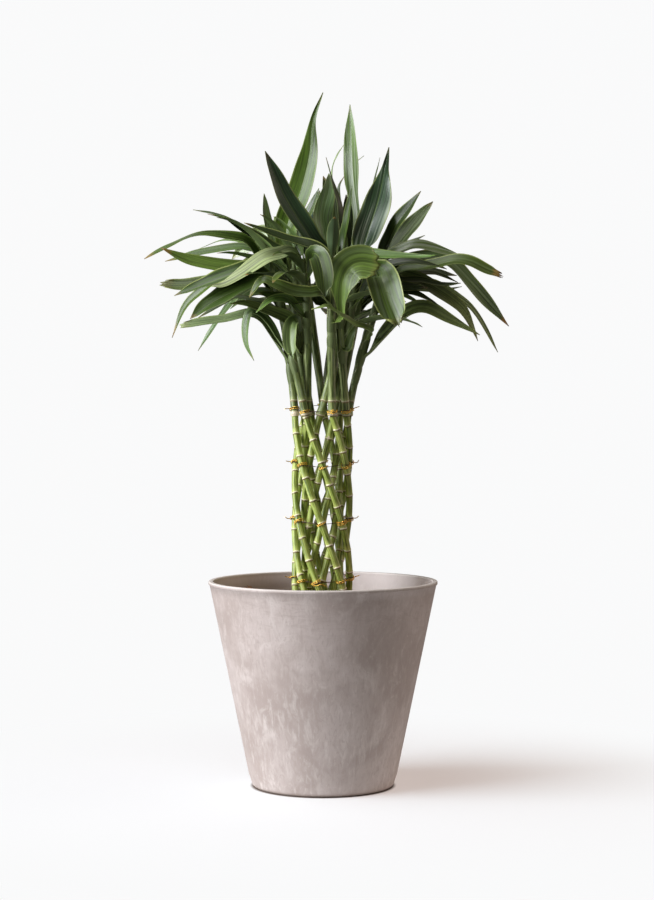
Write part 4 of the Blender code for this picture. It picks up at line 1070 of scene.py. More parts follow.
class SweepTree(GrowingTree):
    """Gives routes a round section, as thick as their attribute thick says.

    It also writes the attribute bark: the turn round the route as cosine and sine, and the mm along it.
    """

    ROUND_GRAIN = 5

    def __init__(self) -> None:
        """Writes the tree."""
        super().__init__("swept_routes", {"Sides": "Int", "Finish": "Material"})
        turn = self.times(self.node("GeometryNodeSplineParameter", {}).outputs["Factor"], TURN)
        around = self.joined(*(self.times(self.math(wave, turn), self.ROUND_GRAIN)
                               for wave in ("COSINE", "SINE")))
        section = self.stored(self.round_section(self.given["Sides"], 1), "around", around)
        lines = self.node("GeometryNodeMeshToCurve", {"Mesh": self.given["Geometry"]}).outputs[0]
        swept = self.swept(lines, section, self.named("thick", "FLOAT"))
        x, y, _ = self.split(self.named("around", "FLOAT_VECTOR"))
        self.end(self.stored(swept, "bark", self.joined(x, y, self.named("along", "FLOAT"))))

    def named(self, name: str, kind: str) -> Socket:
        """Reads a named attribute."""
        made = self.node("GeometryNodeInputNamedAttribute", {"Name": name}, data_type=kind)
        return made.outputs["Attribute"]

    def stored(self, geometry: Socket, name: str, value: Socket) -> Socket:
        """Writes a named attribute at each point."""
        inputs = {"Geometry": geometry, "Name": name, "Value": value}
        return self.node("GeometryNodeStoreNamedAttribute", inputs, data_type="FLOAT_VECTOR",
                         domain="POINT").outputs[0]

    def barked(self, name: str, places: Route, sides: int, finish: Material,
               **values: Sequence) -> Piece:
        """Sweeps one route with bark.

        Args:
            name: Name of the piece.
            places: The route.
            sides: How many sides its section has.
            finish: Its material.
            **values: The attributes thick, along and node_marks, with one value for each point.

        Returns:
            The piece.
        """
        draft = MeshDraft()
        draft.route(places, **values)
        return self.grow(draft.make(f"{name}_route"), name, sides=sides, finish=finish)


class ScatterTree(GrowingTree):
    """Strews bits over a surface: crumbs, or curved fibres."""

    SIZES = {"Density": "Float", "Length": "Float", "Thickness": "Float", "Tilt": "Float", "Seed": "Int",
             "Finish": "Material"}
    FIBRE = {"Start": (-0.5, -0.05, 0), "Start Handle": (-0.2, 0.28, 0.12),
             "End Handle": (0.2, -0.26, 0.14), "End": (0.5, 0.06, 0.02)}

    def __init__(self, crumbs: bool) -> None:
        """Writes the tree.

        Args:
            crumbs: Whether the bits are crumbs and not fibres.
        """
        super().__init__("strewn_crumbs" if crumbs else "strewn_fibres", self.SIZES)
        seed, tilt = self.given["Seed"], self.given["Tilt"]
        bit = self.crumb() if crumbs else self.fibre()
        points = self.node("GeometryNodeDistributePointsOnFaces", {
            "Mesh": self.given["Geometry"], "Density": self.given["Density"], "Seed": seed}).outputs
        back = self.times(tilt, -1)
        turn = self.drawn(self.joined(back, back), self.joined(tilt, tilt, TURN), seed)
        turned = self.node("FunctionNodeEulerToRotation", {0: turn}).outputs[0]
        laid = self.node("FunctionNodeRotateRotation", {0: points["Rotation"], 1: turned},
                         rotation_space="LOCAL")
        size = self.drawn((0.45, 0.45, 0.45), (1, 1, 1), self.add(seed, 7))
        bits = self.node("GeometryNodeInstanceOnPoints", {
            "Points": points["Points"], "Instance": bit, "Rotation": laid.outputs[0], "Scale": size})
        self.end(bits.outputs[0])

    def drawn(self, low: Value, high: Value, seed: Value) -> Socket:
        """Draws a vector for each bit."""
        inputs = {0: low, 1: high, "Seed": seed}
        return self.node("FunctionNodeRandomValue", inputs, data_type="FLOAT_VECTOR").outputs[0]

    def fibre(self) -> Socket:
        """Makes one curved fibre.

        Returns:
            Its geometry.
        """
        ends = {label: self.dimmed(place, self.given["Length"]) for label, place in self.FIBRE.items()}
        ends["Resolution"] = 6
        line = self.node("GeometryNodeCurvePrimitiveBezierSegment", ends, mode="POSITION")
        return self.swept(line.outputs[0], self.round_section(3, 0.5), self.given["Thickness"])

    def crumb(self) -> Socket:
        """Makes one crumb."""
        inputs = {"Radius": self.given["Length"], "Subdivisions": 2}
        return self.node("GeometryNodeMeshIcoSphere", inputs).outputs["Mesh"]


def strewn(bed: Piece, floor: float, name: str, crumbs: bool, **sizes: float) -> Piece:
    """Strews bits over the faces of a bed that look up.

    Args:
        bed: The bed.
        floor: Height that the faces lie over.
        name: Name of the piece.
        crumbs: Whether the bits are crumbs and not fibres.
        **sizes: Density, length, thickness and tilt of the bits.

    Returns:
        The bits as one piece.
    """
    skin = MeshDraft()
    skin.points = [vertex.co.copy() for vertex in bed.data.vertices]
    skin.faces = [tuple(face.vertices) for face in bed.data.polygons
                  if face.normal.z > 0.25 and min(skin.points[i].z for i in face.vertices) > floor]
    return ScatterTree(crumbs).grow(skin.make(f"{name}_skin"), name, seed=SEED, finish=bed.data.materials[0],
                                    **sizes)


def finished(piece: Piece, slot: str, node: str | None = None) -> Piece:
    """Rides a piece on the object and reports it.

    Args:
        piece: The piece.
        slot: The record's material slot, which is logged with it.
        node: The CAD node that it stands for, if any.

    Returns:
        The piece.
    """
    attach(piece, BODY)
    if node is not None:
        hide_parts(node)
    LOG.info("%s: %d faces, slot %s", piece.name, len(piece.data.polygons), slot)
    return piece


@dataclass(frozen=True)
class FrontView:
    """Lays out the crown in dots of the view from an eye in front of the planter."""

    distance: float = 2.60
    height: float = 0.50
    dot: float = 0.0012227
    axis_dot: float = 323
    ground_dot: float = 785

    @property
    def eye(self) -> Vector:
        """Gives where the eye is."""
        return Vector((0, -self.distance, self.height))

    def point(self, across: float, down: float, depth: float) -> Vector:
        """Gives the point at a dot.

        Args:
            across: Dots across.
            down: Dots down.
            depth: Depth in mm behind the planter's axis.

        Returns:
            The point.
        """
        reach = 1 + depth * 0.001 / self.distance
        x = (across - self.axis_dot) * self.dot * reach
        z = self.height + ((self.ground_dot - down) * self.dot - self.height) * reach
        return Vector((x, depth * 0.001, z))


@dataclass(frozen=True)
class TowerPlan:
    """Paths and sizes that the canes, the shoots and the ties share."""

    centre_x: float = -0.0010
    outer_radius: float = 0.0332
    inner_radius: float = 0.0222
    cane_radius: float = 0.00495
    node_radius: float = 0.00535
    node_spacing: float = 0.0268
    cane_foot: float = 0.165
    cane_top: float = 0.451
    bend_start: float = 0.217
    bend_end: float = 0.227
    twist_level: float = 0.319
    outer_twist: float = math.radians(-646)
    inner_twist: float = math.radians(634)
    shoot_top: float = 0.642
    shoot_radius: float = 0.0053
    shoot_tip_radius: float = 0.0034
    seat_gap: float = 0.0003

    @property
    def shoot_height(self) -> float:
        """Gives how high a shoot stands over its cane's top."""
        return self.shoot_top - self.cane_top

    def angle(self, stem: Stem, z: float) -> float:
        """Gives a cane's angle round the tower at a height."""
        twist = self.outer_twist if stem.outer else self.inner_twist
        return math.radians(stem.angle) + twist * (z - self.twist_level)

    def ring(self, stem: Stem) -> float:
        """Gives the radius of the layer that a cane is in."""
        return self.outer_radius if stem.outer else self.inner_radius

    def cane(self, stem: Stem, z: float) -> Vector:
        """Gives a cane's centre at a height, wound above the soil and straight down in it.

        Args:
            stem: The cane.
            z: The height.

        Returns:
            The centre.
        """
        level = z
        if z <= self.bend_start:
            level = 0.5 * (self.bend_start + self.bend_end)
        elif z < self.bend_end:
            run = self.bend_end - self.bend_start
            level = 0.5 * (self.bend_start + self.bend_end + run * ((z - self.bend_start) / run) ** 2)
        return polar(self.ring(stem), self.angle(stem, level), z, self.centre_x)

    def nodes(self, stem: Stem) -> list[float]:
        """Gives the heights of a cane's node rings."""
        heights = []
        z = self.bend_end + 0.004 + stem.node_offset
        while z < self.cane_top - 0.010:
            heights.append(z)
            z += self.node_spacing
        return heights

    def top_way(self, stem: Stem) -> Vector:
        """Gives the direction of a cane at its top."""
        return (self.cane(stem, self.cane_top) - self.cane(stem, self.cane_top - 0.001)).normalized()

    def shoot(self, stem: Stem, at: float) -> Vector:
        """Gives a shoot's centre from its foot on the cane (0) to its top (1)."""
        turn = math.radians(stem.turn) * (1 - (1 - at) ** 2)
        radius = self.ring(stem)
        spread = radius + (stem.top_radius - radius) * max(at, 0) ** 1.3
        height = self.cane_top + self.shoot_height * at
        return polar(spread, self.angle(stem, self.cane_top) + turn, height, self.centre_x)

    def foot(self, stem: Stem) -> Vector:
        """Gives where a shoot's foot stands, just clear of its cane."""
        return self.shoot(stem, 0) + self.top_way(stem) * self.seat_gap

    def stem_point(self, stem: Stem, z: float) -> Vector:
        """Gives the centre of a cane, or of its shoot over the cane's top."""
        if z > self.cane_top:
            return self.shoot(stem, (z - self.cane_top) / self.shoot_height)
        return self.cane(stem, z)


@dataclass
class Planter:
    """Tapered round planter with a rounded foot edge and a slightly thicker lip."""

    height: float = 0.250
    rim_radius: float = 0.1400
    foot_radius: float = 0.0875
    foot_round: float = 0.006
    wall: float = 0.0052
    floor: float = 0.008
    lip_height: float = 0.0045
    lip_step: float = 0.0005
    lip_round: float = 0.0014
    lip_tuck: float = 0.0002
    sides: int = 160
    wall_steps: int = 24
    round_steps: int = 5
    finish: StoneLook = StoneLook()

    def wall_radius(self, z: float) -> float:
        """Gives the outer radius of the straight wall at a height."""
        return self.foot_radius + (self.rim_radius - self.lip_step - self.foot_radius) * z / self.height

    def inner_radius(self, z: float) -> float:
        """Gives the inner radius of the straight wall at a height."""
        return self.wall_radius(z) - self.wall

    def corner(self, radius: float, z: float, start: float, size: float) -> Iterator[Pair]:
        """Rounds a corner of the profile.

        Args:
            radius: Radius of the rounding's centre.
            z: Height of the rounding's centre.
            start: Angle that it starts at, from which it turns 90 degrees anticlockwise.
            size: Radius of the rounding.

        Yields:
            Points of the profile.
        """
        for k in range(self.round_steps + 1):
            turn = start + 0.5 * math.pi * k / self.round_steps
            yield radius + size * math.cos(turn), z + size * math.sin(turn)

    def profile(self) -> list[Pair]:
        """Gives the section from the middle of the underside over the lip to the middle of the floor."""
        lip = self.height - self.lip_height
        inner_lip = self.rim_radius - self.wall - 2 * self.lip_step
        slope = 0.5 * self.lip_round
        outline = [(self.foot_radius * 0.5, 0)]
        outline.extend(self.corner(self.foot_radius - self.foot_round, self.foot_round, -0.5 * math.pi,
                                   self.foot_round))
        for k in range(1, self.wall_steps + 1):
            z = blend(self.foot_round, lip, k / self.wall_steps)
            outline.append((self.wall_radius(z), z))
        outline.append((self.rim_radius - self.lip_tuck, lip + slope))
        outline.append((self.rim_radius, lip + 1.6 * slope))
        top = self.height - self.lip_round
        outline.extend(self.corner(self.rim_radius - self.lip_round, top, 0, self.lip_round))
        outline.extend(self.corner(inner_lip + self.lip_round, top, 0.5 * math.pi, self.lip_round))
        outline.append((inner_lip, lip + slope))
        for k in range(self.wall_steps + 1):
            z = blend(lip - slope, self.floor, k / self.wall_steps)
            outline.append((self.inner_radius(z), z))
        outline.append((self.foot_radius * 0.4, self.floor))
        return outline

    def build(self) -> None:
        """Turns the profile into the planter's shell."""
        draft = MeshDraft()
        draft.shell([draft.circle(radius, z, self.sides) for radius, z in self.profile()], 0, self.floor)
        finished(draft.make("planter_shell", self.finish.make()), "pot", "pot")


@dataclass
class SoilBed:
    """Potting mix that fills the planter, with a crumbly top."""

    planter: Planter
    top: float = 0.215
    gap: float = 0.0006
    sectors: int = 96
    rows: int = 30
    relief: float = 0.0013
    crumb_size: float = 0.0016
    crumbs_per_m2: float = 26000
    finish: PottingMix = PottingMix()

    def build(self) -> None:
        """Builds the bed and strews its crumbs."""
        draft = MeshDraft()
        edge = self.planter.inner_radius(self.top) - self.gap
        rows = []
        for r in range(1, self.rows + 1):
            row = []
            for k in range(self.sectors):
                spot = polar(edge * r / self.rows, TURN * k / self.sectors, self.top)
                lift = noise.fractal(spot * 60, 0.6, 2.2, 4) * self.relief
                row.append(draft.point(spot + Vector((0, 0, min(lift, self.relief)))))
            rows.append(row)
        floor = self.planter.floor + self.gap
        foot = self.planter.inner_radius(self.planter.floor) - self.gap
        rows.append(draft.circle(foot, floor, self.sectors))
        draft.shell(rows, self.top, floor, inward=True)
        bed = finished(draft.make("potting_mix_bed", self.finish.make()), "soil", "potting_soil")
        finished(strewn(bed, self.top - 0.004, "potting_mix_crumbs", True, density=self.crumbs_per_m2,
                        length=self.crumb_size, thickness=0.0, tilt=0.9), "soil")


@dataclass
class MulchBed:
    """Coir mulch: a loose ring on the soil, heaped against the wall at the back left."""

    planter: Planter
    soil_top: float = 0.215
    gap: float = 0.0006
    inner_edge: float = 0.044
    raggedness: float = 0.003
    thickness: float = 0.0055
    relief: float = 0.0015
    heap_angle: float = math.radians(-132)
    heap_height: float = 0.0165
    heap_spread: float = math.radians(13)
    sectors: int = 160
    rows: int = 22
    fibre_length: float = 0.021
    fibre_thickness: float = 0.0011
    fibres_per_m2: float = 26000
    lip_room: float = 0.008
    finish: Coir = Coir()

    def top(self, part: float, angle: float) -> float:
        """Gives the mulch's height at a part of the way from the tower to the wall."""
        off = math.remainder(angle - self.heap_angle, TURN) / self.heap_spread
        height = self.thickness * (0.55 + 0.45 * math.sin(math.pi * min(part + 0.2, 1)))
        height += self.heap_height * math.exp(-off * off) * part ** 3
        spot = polar(1 + 2 * part, angle, 0)
        return self.soil_top + height + self.relief * noise.fractal(spot * 5, 0.5, 2.1, 4)

    def build(self) -> None:
        """Builds the bed and strews its fibres, which are held inside the wall."""
        draft = MeshDraft()
        underside = self.soil_top + 0.5 * self.gap
        rows = []
        for r in range(self.rows + 1):
            part = r / self.rows
            row = []
            for k in range(self.sectors):
                angle = TURN * k / self.sectors
                z = self.top(part, angle)
                edge = self.planter.inner_radius(z) - self.gap
                ragged = self.inner_edge + self.raggedness * noise.noise(polar(3, angle, 0)) * (1 - part)
                row.append(draft.point(polar(blend(ragged, edge, part), angle, z)))
            rows.append(row)
        for radius in (self.planter.inner_radius(underside) - self.gap, self.inner_edge):
            rows.append(draft.circle(radius, underside, self.sectors))
        draft.rings([row[::-1] for row in (*rows, rows[0])])
        bed = finished(draft.make("coir_bed", self.finish.make()), "mulch", "coir_mulch")
        fibres = strewn(bed, underside + 0.001, "coir_fibres", False, density=self.fibres_per_m2,
                        length=self.fibre_length, thickness=self.fibre_thickness, tilt=0.30)
        inside = self.planter.rim_radius - self.lip_room
        for vertex in fibres.data.vertices:
            reach = math.hypot(vertex.co.x, vertex.co.y)
            limit = min(self.planter.inner_radius(vertex.co.z), inside)
            if reach > limit:
                vertex.co.x *= limit / reach
                vertex.co.y *= limit / reach
        finished(fibres, "mulch")


@dataclass
class CaneTower:
    """Sixteen bare canes that cross in a round lattice, each with raised node rings."""

    plan: TowerPlan
    sweep: SweepTree
    sides: int = 20
    step: float = 0.0030
    node_room: float = 0.0036
    ring_width: float = 0.00075
    ring_lift: float = 0.00045
    swell_width: float = 0.0065
    waist: float = 0.945
    slimness: float = 0.865
    grain_step_mm: float = 700
    node_steps_mm: tuple[float, ...] = (-3, -1.9, -1.4, -1, -0.6, -0.3, 0, 0.3, 0.6, 1, 1.5, 3)
    finish: CaneBark = CaneBark()

    def levels(self, nodes: Sequence[float]) -> list[float]:
        """Gives the heights that a cane's route stops at, close together at each node ring."""
        plan = self.plan
        found = {plan.cane_foot, plan.cane_top}
        count = int((plan.cane_top - plan.cane_foot) / self.step)
        for k in range(1, count):
            z = blend(plan.cane_foot, plan.cane_top, k / count)
            if all(abs(z - node) > self.node_room for node in nodes):
                found.add(z)
        for node in nodes:
            found.update(node + mm * 0.001 for mm in self.node_steps_mm)
        return sorted(found)

    def build(self) -> None:
        """Sweeps each cane along its winding route."""
        material = self.finish.make()
        plan = self.plan
        for number, stem in enumerate(STEMS):
            nodes = plan.nodes(stem)
            levels = self.levels(nodes)
            thick = []
            for z in levels:
                ring = max(bell(z - node, self.ring_width) for node in nodes)
                near = max(bell(z - node, self.swell_width) for node in nodes)
                body = plan.cane_radius * self.slimness * blend(self.waist, 1, near)
                thick.append(body + self.ring_lift * ring)
            places = [plan.cane(stem, z) for z in levels]
            along = [z * 1000 + self.grain_step_mm * number for z in levels]
            marks = [((z - nodes[0]) / plan.node_spacing, 1, 0) for z in levels]
            cane = self.sweep.barked(f"cane_{stem.name}_bark", places, self.sides, material, thick=thick,
                                     along=along, node_marks=marks)
            finished(cane, "cane", f"cane_{stem.name}")


@dataclass(frozen=True)
class LeafShape:
    """Sizes of a leaf's sheath, its channelled neck and its blade."""

    stations: int = 36
    sheath_stations: int = 7
    sheath_drop: float = 0.110
    sheath_wrap: float = 2.25
    sheath_gap: float = 0.00035
    trough_base: float = 0.30
    trough_tip: float = 0.10
    neck_width: float = 0.0072
    tip_width: float = 0.0009
    thickness: float = 0.00052
    margin_thickness: float = 0.00022
    crease: float = 0.60
    folds: Pair = (0.02, 0.10)
    wave: float = 0.030
    wave_size: Pair = (0.5, 1.4)
    wave_count: Pair = (2, 3.6)
    tear_step: float = 0.0035
    tear_round: float = 0.0060
    sheath_flare: float = 0.0006
    twist: float = math.radians(7)
    shares: tuple[float, ...] = (-1, -0.965, -0.86, -0.69, -0.49, -0.28, -0.10, 0, 0.10, 0.28, 0.49, 0.69,
                                 0.86, 0.965, 1)

    def trough(self, part: float) -> float:
        """Gives how deep the blade's trough is, as a part of its width."""
        return blend(self.trough_base, self.trough_tip, smooth(part * 1.6))

    def coarse_width(self, outline: Outline, part: float) -> float:
        """Gives a coarse leaf's width along its length, as a part of its greatest width."""
        knots = outline.value
        for (a, wide_a), (b, wide_b) in zip(knots, knots[1:]):
            if part <= b:
                return wide_a + (wide_b - wide_a) * (part - a) / (b - a)
        return knots[-1][1]

    def soft_width(self, outline: Outline, part: float) -> float:
        """Gives a leaf's width along its length by a smooth curve through its outline.

        Args:
            outline: The outline.
            part: The part of its length.

        Returns:
            The part of its greatest width.
        """
        knots = outline.value
        k = next((k for k, knot in enumerate(knots[1:-1]) if part <= knot[0]), len(knots) - 2)
        (a, wide_a), (b, wide_b) = knots[k], knots[k + 1]
        slopes = []
        for i in (k, k + 1):
            low = knots[max(i - 1, 0)]
            high = knots[min(i + 1, len(knots) - 1)]
            slopes.append((high[1] - low[1]) / (high[0] - low[0]))
        run = b - a
        t = min(max((part - a) / run, 0), 1)
        return max((2 * t ** 3 - 3 * t ** 2 + 1) * wide_a + (t ** 3 - 2 * t ** 2 + t) * run * slopes[0]
                   + (3 * t ** 2 - 2 * t ** 3) * wide_b + (t ** 3 - t ** 2) * run * slopes[1], 0)


@dataclass
class Crown:
    """Sixteen leafy shoots: stems with their leaves, each bent clear of the others."""

    plan: TowerPlan
    view: FrontView
    sweep: SweepTree
    shape: LeafShape = LeafShape()
    sheath_run: float = 0.012
    coarse_thickness: float = 0.0008
    clearance: float = 0.0006
    hidden_segments: int = 6
    hidden_steps: int = 10
    coarse_sides: int = 6
    stem_sides: int = 18
    stem_steps: int = 90
    stem_part: float = 0.90
    foot_at: float = 0.014
    foot_width: float = 0.0038
    foot_swell: Pair = (0.0003, 0.0011)
    ring_at: float = 0.012
    ring_width: float = 0.0007
    ring_lift: float = 0.00020
    ring_steps_mm: tuple[float, ...] = (-1.6, -1.1, -0.7, -0.3, 0, 0.3, 0.7, 1.1)
    finish: LivingLeaf = LivingLeaf()
    bark: CaneBark = CaneBark(
        name="shoot_bark", green=(0.188, 0.255, 0.058), light=(0.480, 0.560, 0.220),
        deep=(0.056, 0.078, 0.022), bloom=(0.340, 0.385, 0.270), ring=(0.620, 0.580, 0.370),
        scar=(0.250, 0.160, 0.080), spacing_mm=17, bloom_part=0.45, streak_grain=0.50)
    profile: tuple[Pair, ...] = ((0, 1), (0.10, 1), (0.22, 0.96), (0.40, 1.08), (0.60, 1),
                                 (0.80, 0.85), (1, 0.42))

    def coarse_blade(self, route: Route, sides: Route, over: Route, width: float, outline: Outline,
                     thickness: float) -> tuple[list[Vector], list[tuple[int, ...]]]:
        """Builds a coarse blade, which the search for clear space tests.

        Args:
            route: Its midrib.
            sides: Directions of its width.
            over: Directions of its upper face.
            width: Its greatest width.
            outline: Its outline.
            thickness: Its thickness.

        Returns:
            Its points and faces.
        """
        points = []
        last = len(route) - 1
        for i, (point, side, normal) in enumerate(zip(route, sides, over)):
            part = i / last
            wide = max(width * self.shape.coarse_width(outline, part), self.shape.tip_width)
            half = 0.5 * thickness * normal
            lift = wide * self.shape.trough(part) * 0.5 * normal
            row = (point - side * 0.5 * wide + lift, point - lift, point + side * 0.5 * wide + lift)
            points.extend(spot + half for spot in row)
            points.extend(spot - half for spot in row)
        faces = []
        for a in range(0, 6 * last, 6):
            b = a + 6
            for p, q in ((0, 1), (3, 4), (1, 2), (4, 5), (0, 3), (5, 2)):
                faces.extend(((a + p, a + q, b + q), (a + p, b + q, b + p)))
        ends = [base + j for base in (0, 6 * last) for j in (0, 1)]
        faces.extend((a, a + 3, a + 4, a + 1) for a in ends)
        return points, faces

    def seen_frame(self, route: Route, leaf: Seen, sign: int = 0) -> tuple[list[Vector], int]:
        """Gives the directions of a leaf that shows from the front.

        Args:
            route: Its midrib.
            leaf: The leaf.
            sign: Which way the blade turns, or 0 to find it.

        Returns:
            Directions of its upper face, and which way the blade turns.
        """
        choices = []
        for turned in (1, -1):
            normals = []
            for i, (point, way) in enumerate(zip(route, tangents(route))):
                turn = math.radians(leaf.turn_base + (leaf.turn_tip - leaf.turn_base) * i / (len(route) - 1))
                facing = square_to(way, (self.view.eye - point).normalized())
                normals.append(Matrix.Rotation(turned * turn, 3, way) @ facing)
            choices.append((sum(normal.z for normal in normals), turned, normals))
        choices.sort(key=lambda choice: choice[0])
        picked = choices[1 if leaf.face > 0 else 0]
        if sign:
            picked = next(choice for choice in choices if choice[1] == sign)
        return (picked[2] if leaf.face > 0 else [-normal for normal in picked[2]]), picked[1]

    def hidden_frame(self, route: Route, azimuth: float) -> list[Vector]:
        """Gives the directions of the upper face of a leaf that arches in an upright plane."""
        side = polar(1, azimuth + math.pi / 2, 0)
        over = [side.cross(way).normalized() for way in tangents(route)]
        return over if sum(normal.z for normal in over) >= 0 else [-normal for normal in over]

    def seen_points(self, stem: Stem, leaf: Seen, shift: float) -> list[Vector]:
        """Gives what a seen leaf's midrib runs through.

        Args:
            stem: Its stem.
            leaf: The leaf.
            shift: How far it is bent away from the eye at its tip, in mm.

        Returns:
            The points.
        """
        root = self.plan.shoot(stem, leaf.at)
        ahead = self.plan.shoot(stem, min(leaf.at + 0.05, 1))
        lean = (ahead - self.plan.shoot(stem, leaf.at - 0.05)).normalized()
        points = [root, root + lean * self.sheath_run]
        last = len(leaf.midrib) - 1
        for i, (across, down, depth) in enumerate(leaf.midrib):
            points.append(self.view.point(across, down, depth + shift * (0.35 + 0.65 * i / last)))
        return points

    def hidden_points(self, stem: Stem, leaf: Hidden, azimuth: float, lift: float) -> list[Vector]:
        """Gives what a hidden leaf's midrib runs through.

        Args:
            stem: Its stem.
            leaf: The leaf.
            azimuth: The way that it points, in radians.
            lift: How far it is lifted, in degrees.

        Returns:
            The points.
        """
        points = [self.plan.shoot(stem, leaf.at)]
        steps = self.hidden_steps
        for k in range(steps):
            part = (k + 0.5) / steps
            upright = (86 - leaf.rise) * max(0, 1 - 5 * part) ** 2
            slope = math.radians(leaf.rise + lift + upright - leaf.droop * part ** 1.3)
            step = polar(math.cos(slope), azimuth, math.sin(slope)) * (leaf.length * 0.001 / steps)
            points.append(points[-1] + step)
        return points

    def laid(self, stem: Stem, leaf: Leaf, choice: Pair, count: int,
             sign: int = 0) -> tuple[list[Vector], list[Vector], int]:
        """Lays out a leaf's midrib.

        Args:
            stem: Its stem.
            leaf: The leaf.
            choice: How it is bent aside.
            count: How many points the midrib has.
            sign: Which way its blade turns, or 0 to find it.

        Returns:
            The points of the midrib, the directions of its upper face and which way its blade turns.
        """
        if isinstance(leaf, Seen):
            route = spline(self.seen_points(stem, leaf, choice[0]), count)
            return route, *self.seen_frame(route, leaf, sign)
        azimuth = math.radians(leaf.azimuth + choice[0])
        route = spline(self.hidden_points(stem, leaf, azimuth, choice[1]), count)
        return route, self.hidden_frame(route, azimuth), 0

    def tries(self, leaf: Leaf) -> Iterator[Pair]:
        """Gives the ways to bend a leaf aside, the smallest first.

        Args:
            leaf: The leaf.

        Yields:
            A shift in depth and nought for a seen leaf, or a turn and a lift for a hidden one.
        """
        yield 0, 0
        if isinstance(leaf, Seen):
            for size in range(4, 101, 4):
                yield from ((-size, 0), (size, 0))
            return
        for size in range(5, 61, 5):
            yield from ((size, 0), (-size, 0), (0, size * 0.6), (0, -size * 0.6), (size, size * 0.5),
                        (-size, -size * 0.5))

    def placed_leaves(self) -> Iterator[tuple[int, Stem, Leaf, Pair, int]]:
        """Finds how each leaf clears the other shoots' stems and leaves.

        Yields:
            The leaf's number, its stem, the leaf, the way it is bent aside and which way its blade turns.
        """
        stems = {stem.name: stem for stem in STEMS}
        fixed = [(stem.name, self.stem_surface(stem)) for stem in STEMS]
        placed: list[tuple[str, BVHTree, BVHTree]] = []
        room = 2 * self.clearance
        for number, leaf in enumerate((*SEEN_LEAVES, *HIDDEN_LEAVES, *FILL_LEAVES)):
            stem = stems[leaf.stem]
            count = (leaf.segments if isinstance(leaf, Seen) else self.hidden_segments) + 1
            width = leaf.width * 0.001
            best = None
            for choice in self.tries(leaf):
                route, over, sign = self.laid(stem, leaf, choice, count)
                sides = [way.cross(normal).normalized() for way, normal in zip(tangents(route), over)]
                points, faces = self.coarse_blade(route, sides, over, width + room, leaf.outline,
                                                  self.coarse_thickness + room)
                test = BVHTree.FromPolygons(points, faces)
                others = [*fixed, *((name, tree) for name, tree, _ in placed)]
                if any(test.overlap(tree) for name, tree in others if name != stem.name):
                    continue
                outer = self.outer_part(points, faces)
                own = sum(1 for name, _, tree in placed if name == stem.name and outer.overlap(tree))
                if best is None or own < best[0]:
                    best = (own, choice, sign, (route, sides, over, width, leaf.outline))
                if own == 0:
                    break
            if best is None:
                continue
            points, faces = self.coarse_blade(*best[3], self.coarse_thickness)
            placed.append((stem.name, BVHTree.FromPolygons(points, faces), self.outer_part(points, faces)))
            yield number, stem, leaf, best[1], best[2]

    def outer_part(self, points: Route, faces: Sequence[tuple[int, ...]]) -> BVHTree:
        """Gives the search tree of a coarse blade without its first two rows."""
        outer = [tuple(i - 12 for i in face) for face in faces if min(face) >= 12]
        return BVHTree.FromPolygons(points[12:], outer)

    def stem_surface(self, stem: Stem) -> BVHTree:
        """Gives the search tree of a shoot's coarse stem."""
        plan = self.plan
        parts = ((0.03, 1), *self.profile[1:-1])
        route = [plan.foot(stem), *(plan.shoot(stem, at) for at, _ in parts), plan.shoot(stem, 1)]
        radii = [plan.shoot_radius, *(plan.shoot_radius * part for _, part in parts), plan.shoot_tip_radius]
        ways = [plan.top_way(stem), *tangents(route)[1:]]
        count = self.coarse_sides
        draft = MeshDraft()
        rows = []
        for point, way, radius in zip(route, ways, radii):
            side = way.cross(Vector((0, 1, 0))).normalized()
            over = side.cross(way)
            turns = [TURN * (k + 0.5) / count for k in range(count)]
            rows.append([draft.point(point + radius * (side * math.cos(turn) + over * math.sin(turn)))
                         for turn in turns])
        draft.rings(rows)
        draft.faces.extend((tuple(rows[0]), tuple(rows[-1])))
        return BVHTree.FromPolygons(draft.points, draft.faces)

    def stem_width(self, at: float) -> float:
        """Gives a shoot's radius at a part of its height."""
        part = self.profile[-1][1]
        for (a, wide_a), (b, wide_b) in zip(self.profile, self.profile[1:]):
            if at <= b:
                part = blend(wide_a, wide_b, smooth((at - a) / (b - a)))
                break
        return self.plan.shoot_radius * self.stem_part * part

    def build_stem(self, stem: Stem, number: int, material: Material) -> None:
        """Sweeps a shoot's stem from its swollen foot to its tip.

        Args:
            stem: The stem.
            number: Its number, which varies its rings.
            material: Its finish.
        """
        draw = random.Random(SEED * 100 + number)
        swell = draw.uniform(*self.foot_swell)
        callus = draw.choice((0, 0.25, 0.5, 0.9))
        height = self.plan.shoot_height
        gap = self.bark.spacing_mm * 0.001 / height
        rings = [self.ring_at, self.ring_at + gap]
        stops = {k / self.stem_steps for k in range(self.stem_steps + 1)}
        for ring in rings:
            stops.update(ring + mm * 0.001 / height for mm in self.ring_steps_mm)
        levels = sorted(at for at in stops if 0 <= at <= 1)
        thick = []
        marks = []
        for at in levels:
            ring = max(bell((at - spot) * height, self.ring_width) for spot in rings)
            foot = bell((at - self.foot_at) * height, self.foot_width)
            marks.append(((at - rings[0]) / gap, smooth((1.5 * gap - at) / (0.2 * gap)), foot * callus))
            thick.append(self.stem_width(at) + self.ring_lift * ring + swell * foot)
        places = [self.plan.foot(stem), *(self.plan.shoot(stem, at) for at in levels[1:])]
        piece = self.sweep.barked(
            f"leafy_shoot_{stem.name}_stem", places, self.stem_sides, material, thick=thick, node_marks=marks,
            along=[at * height * 1000 + 700 * number + 300 for at in levels])
        finished(piece, "leaf", f"leafy_shoot_{stem.name}")

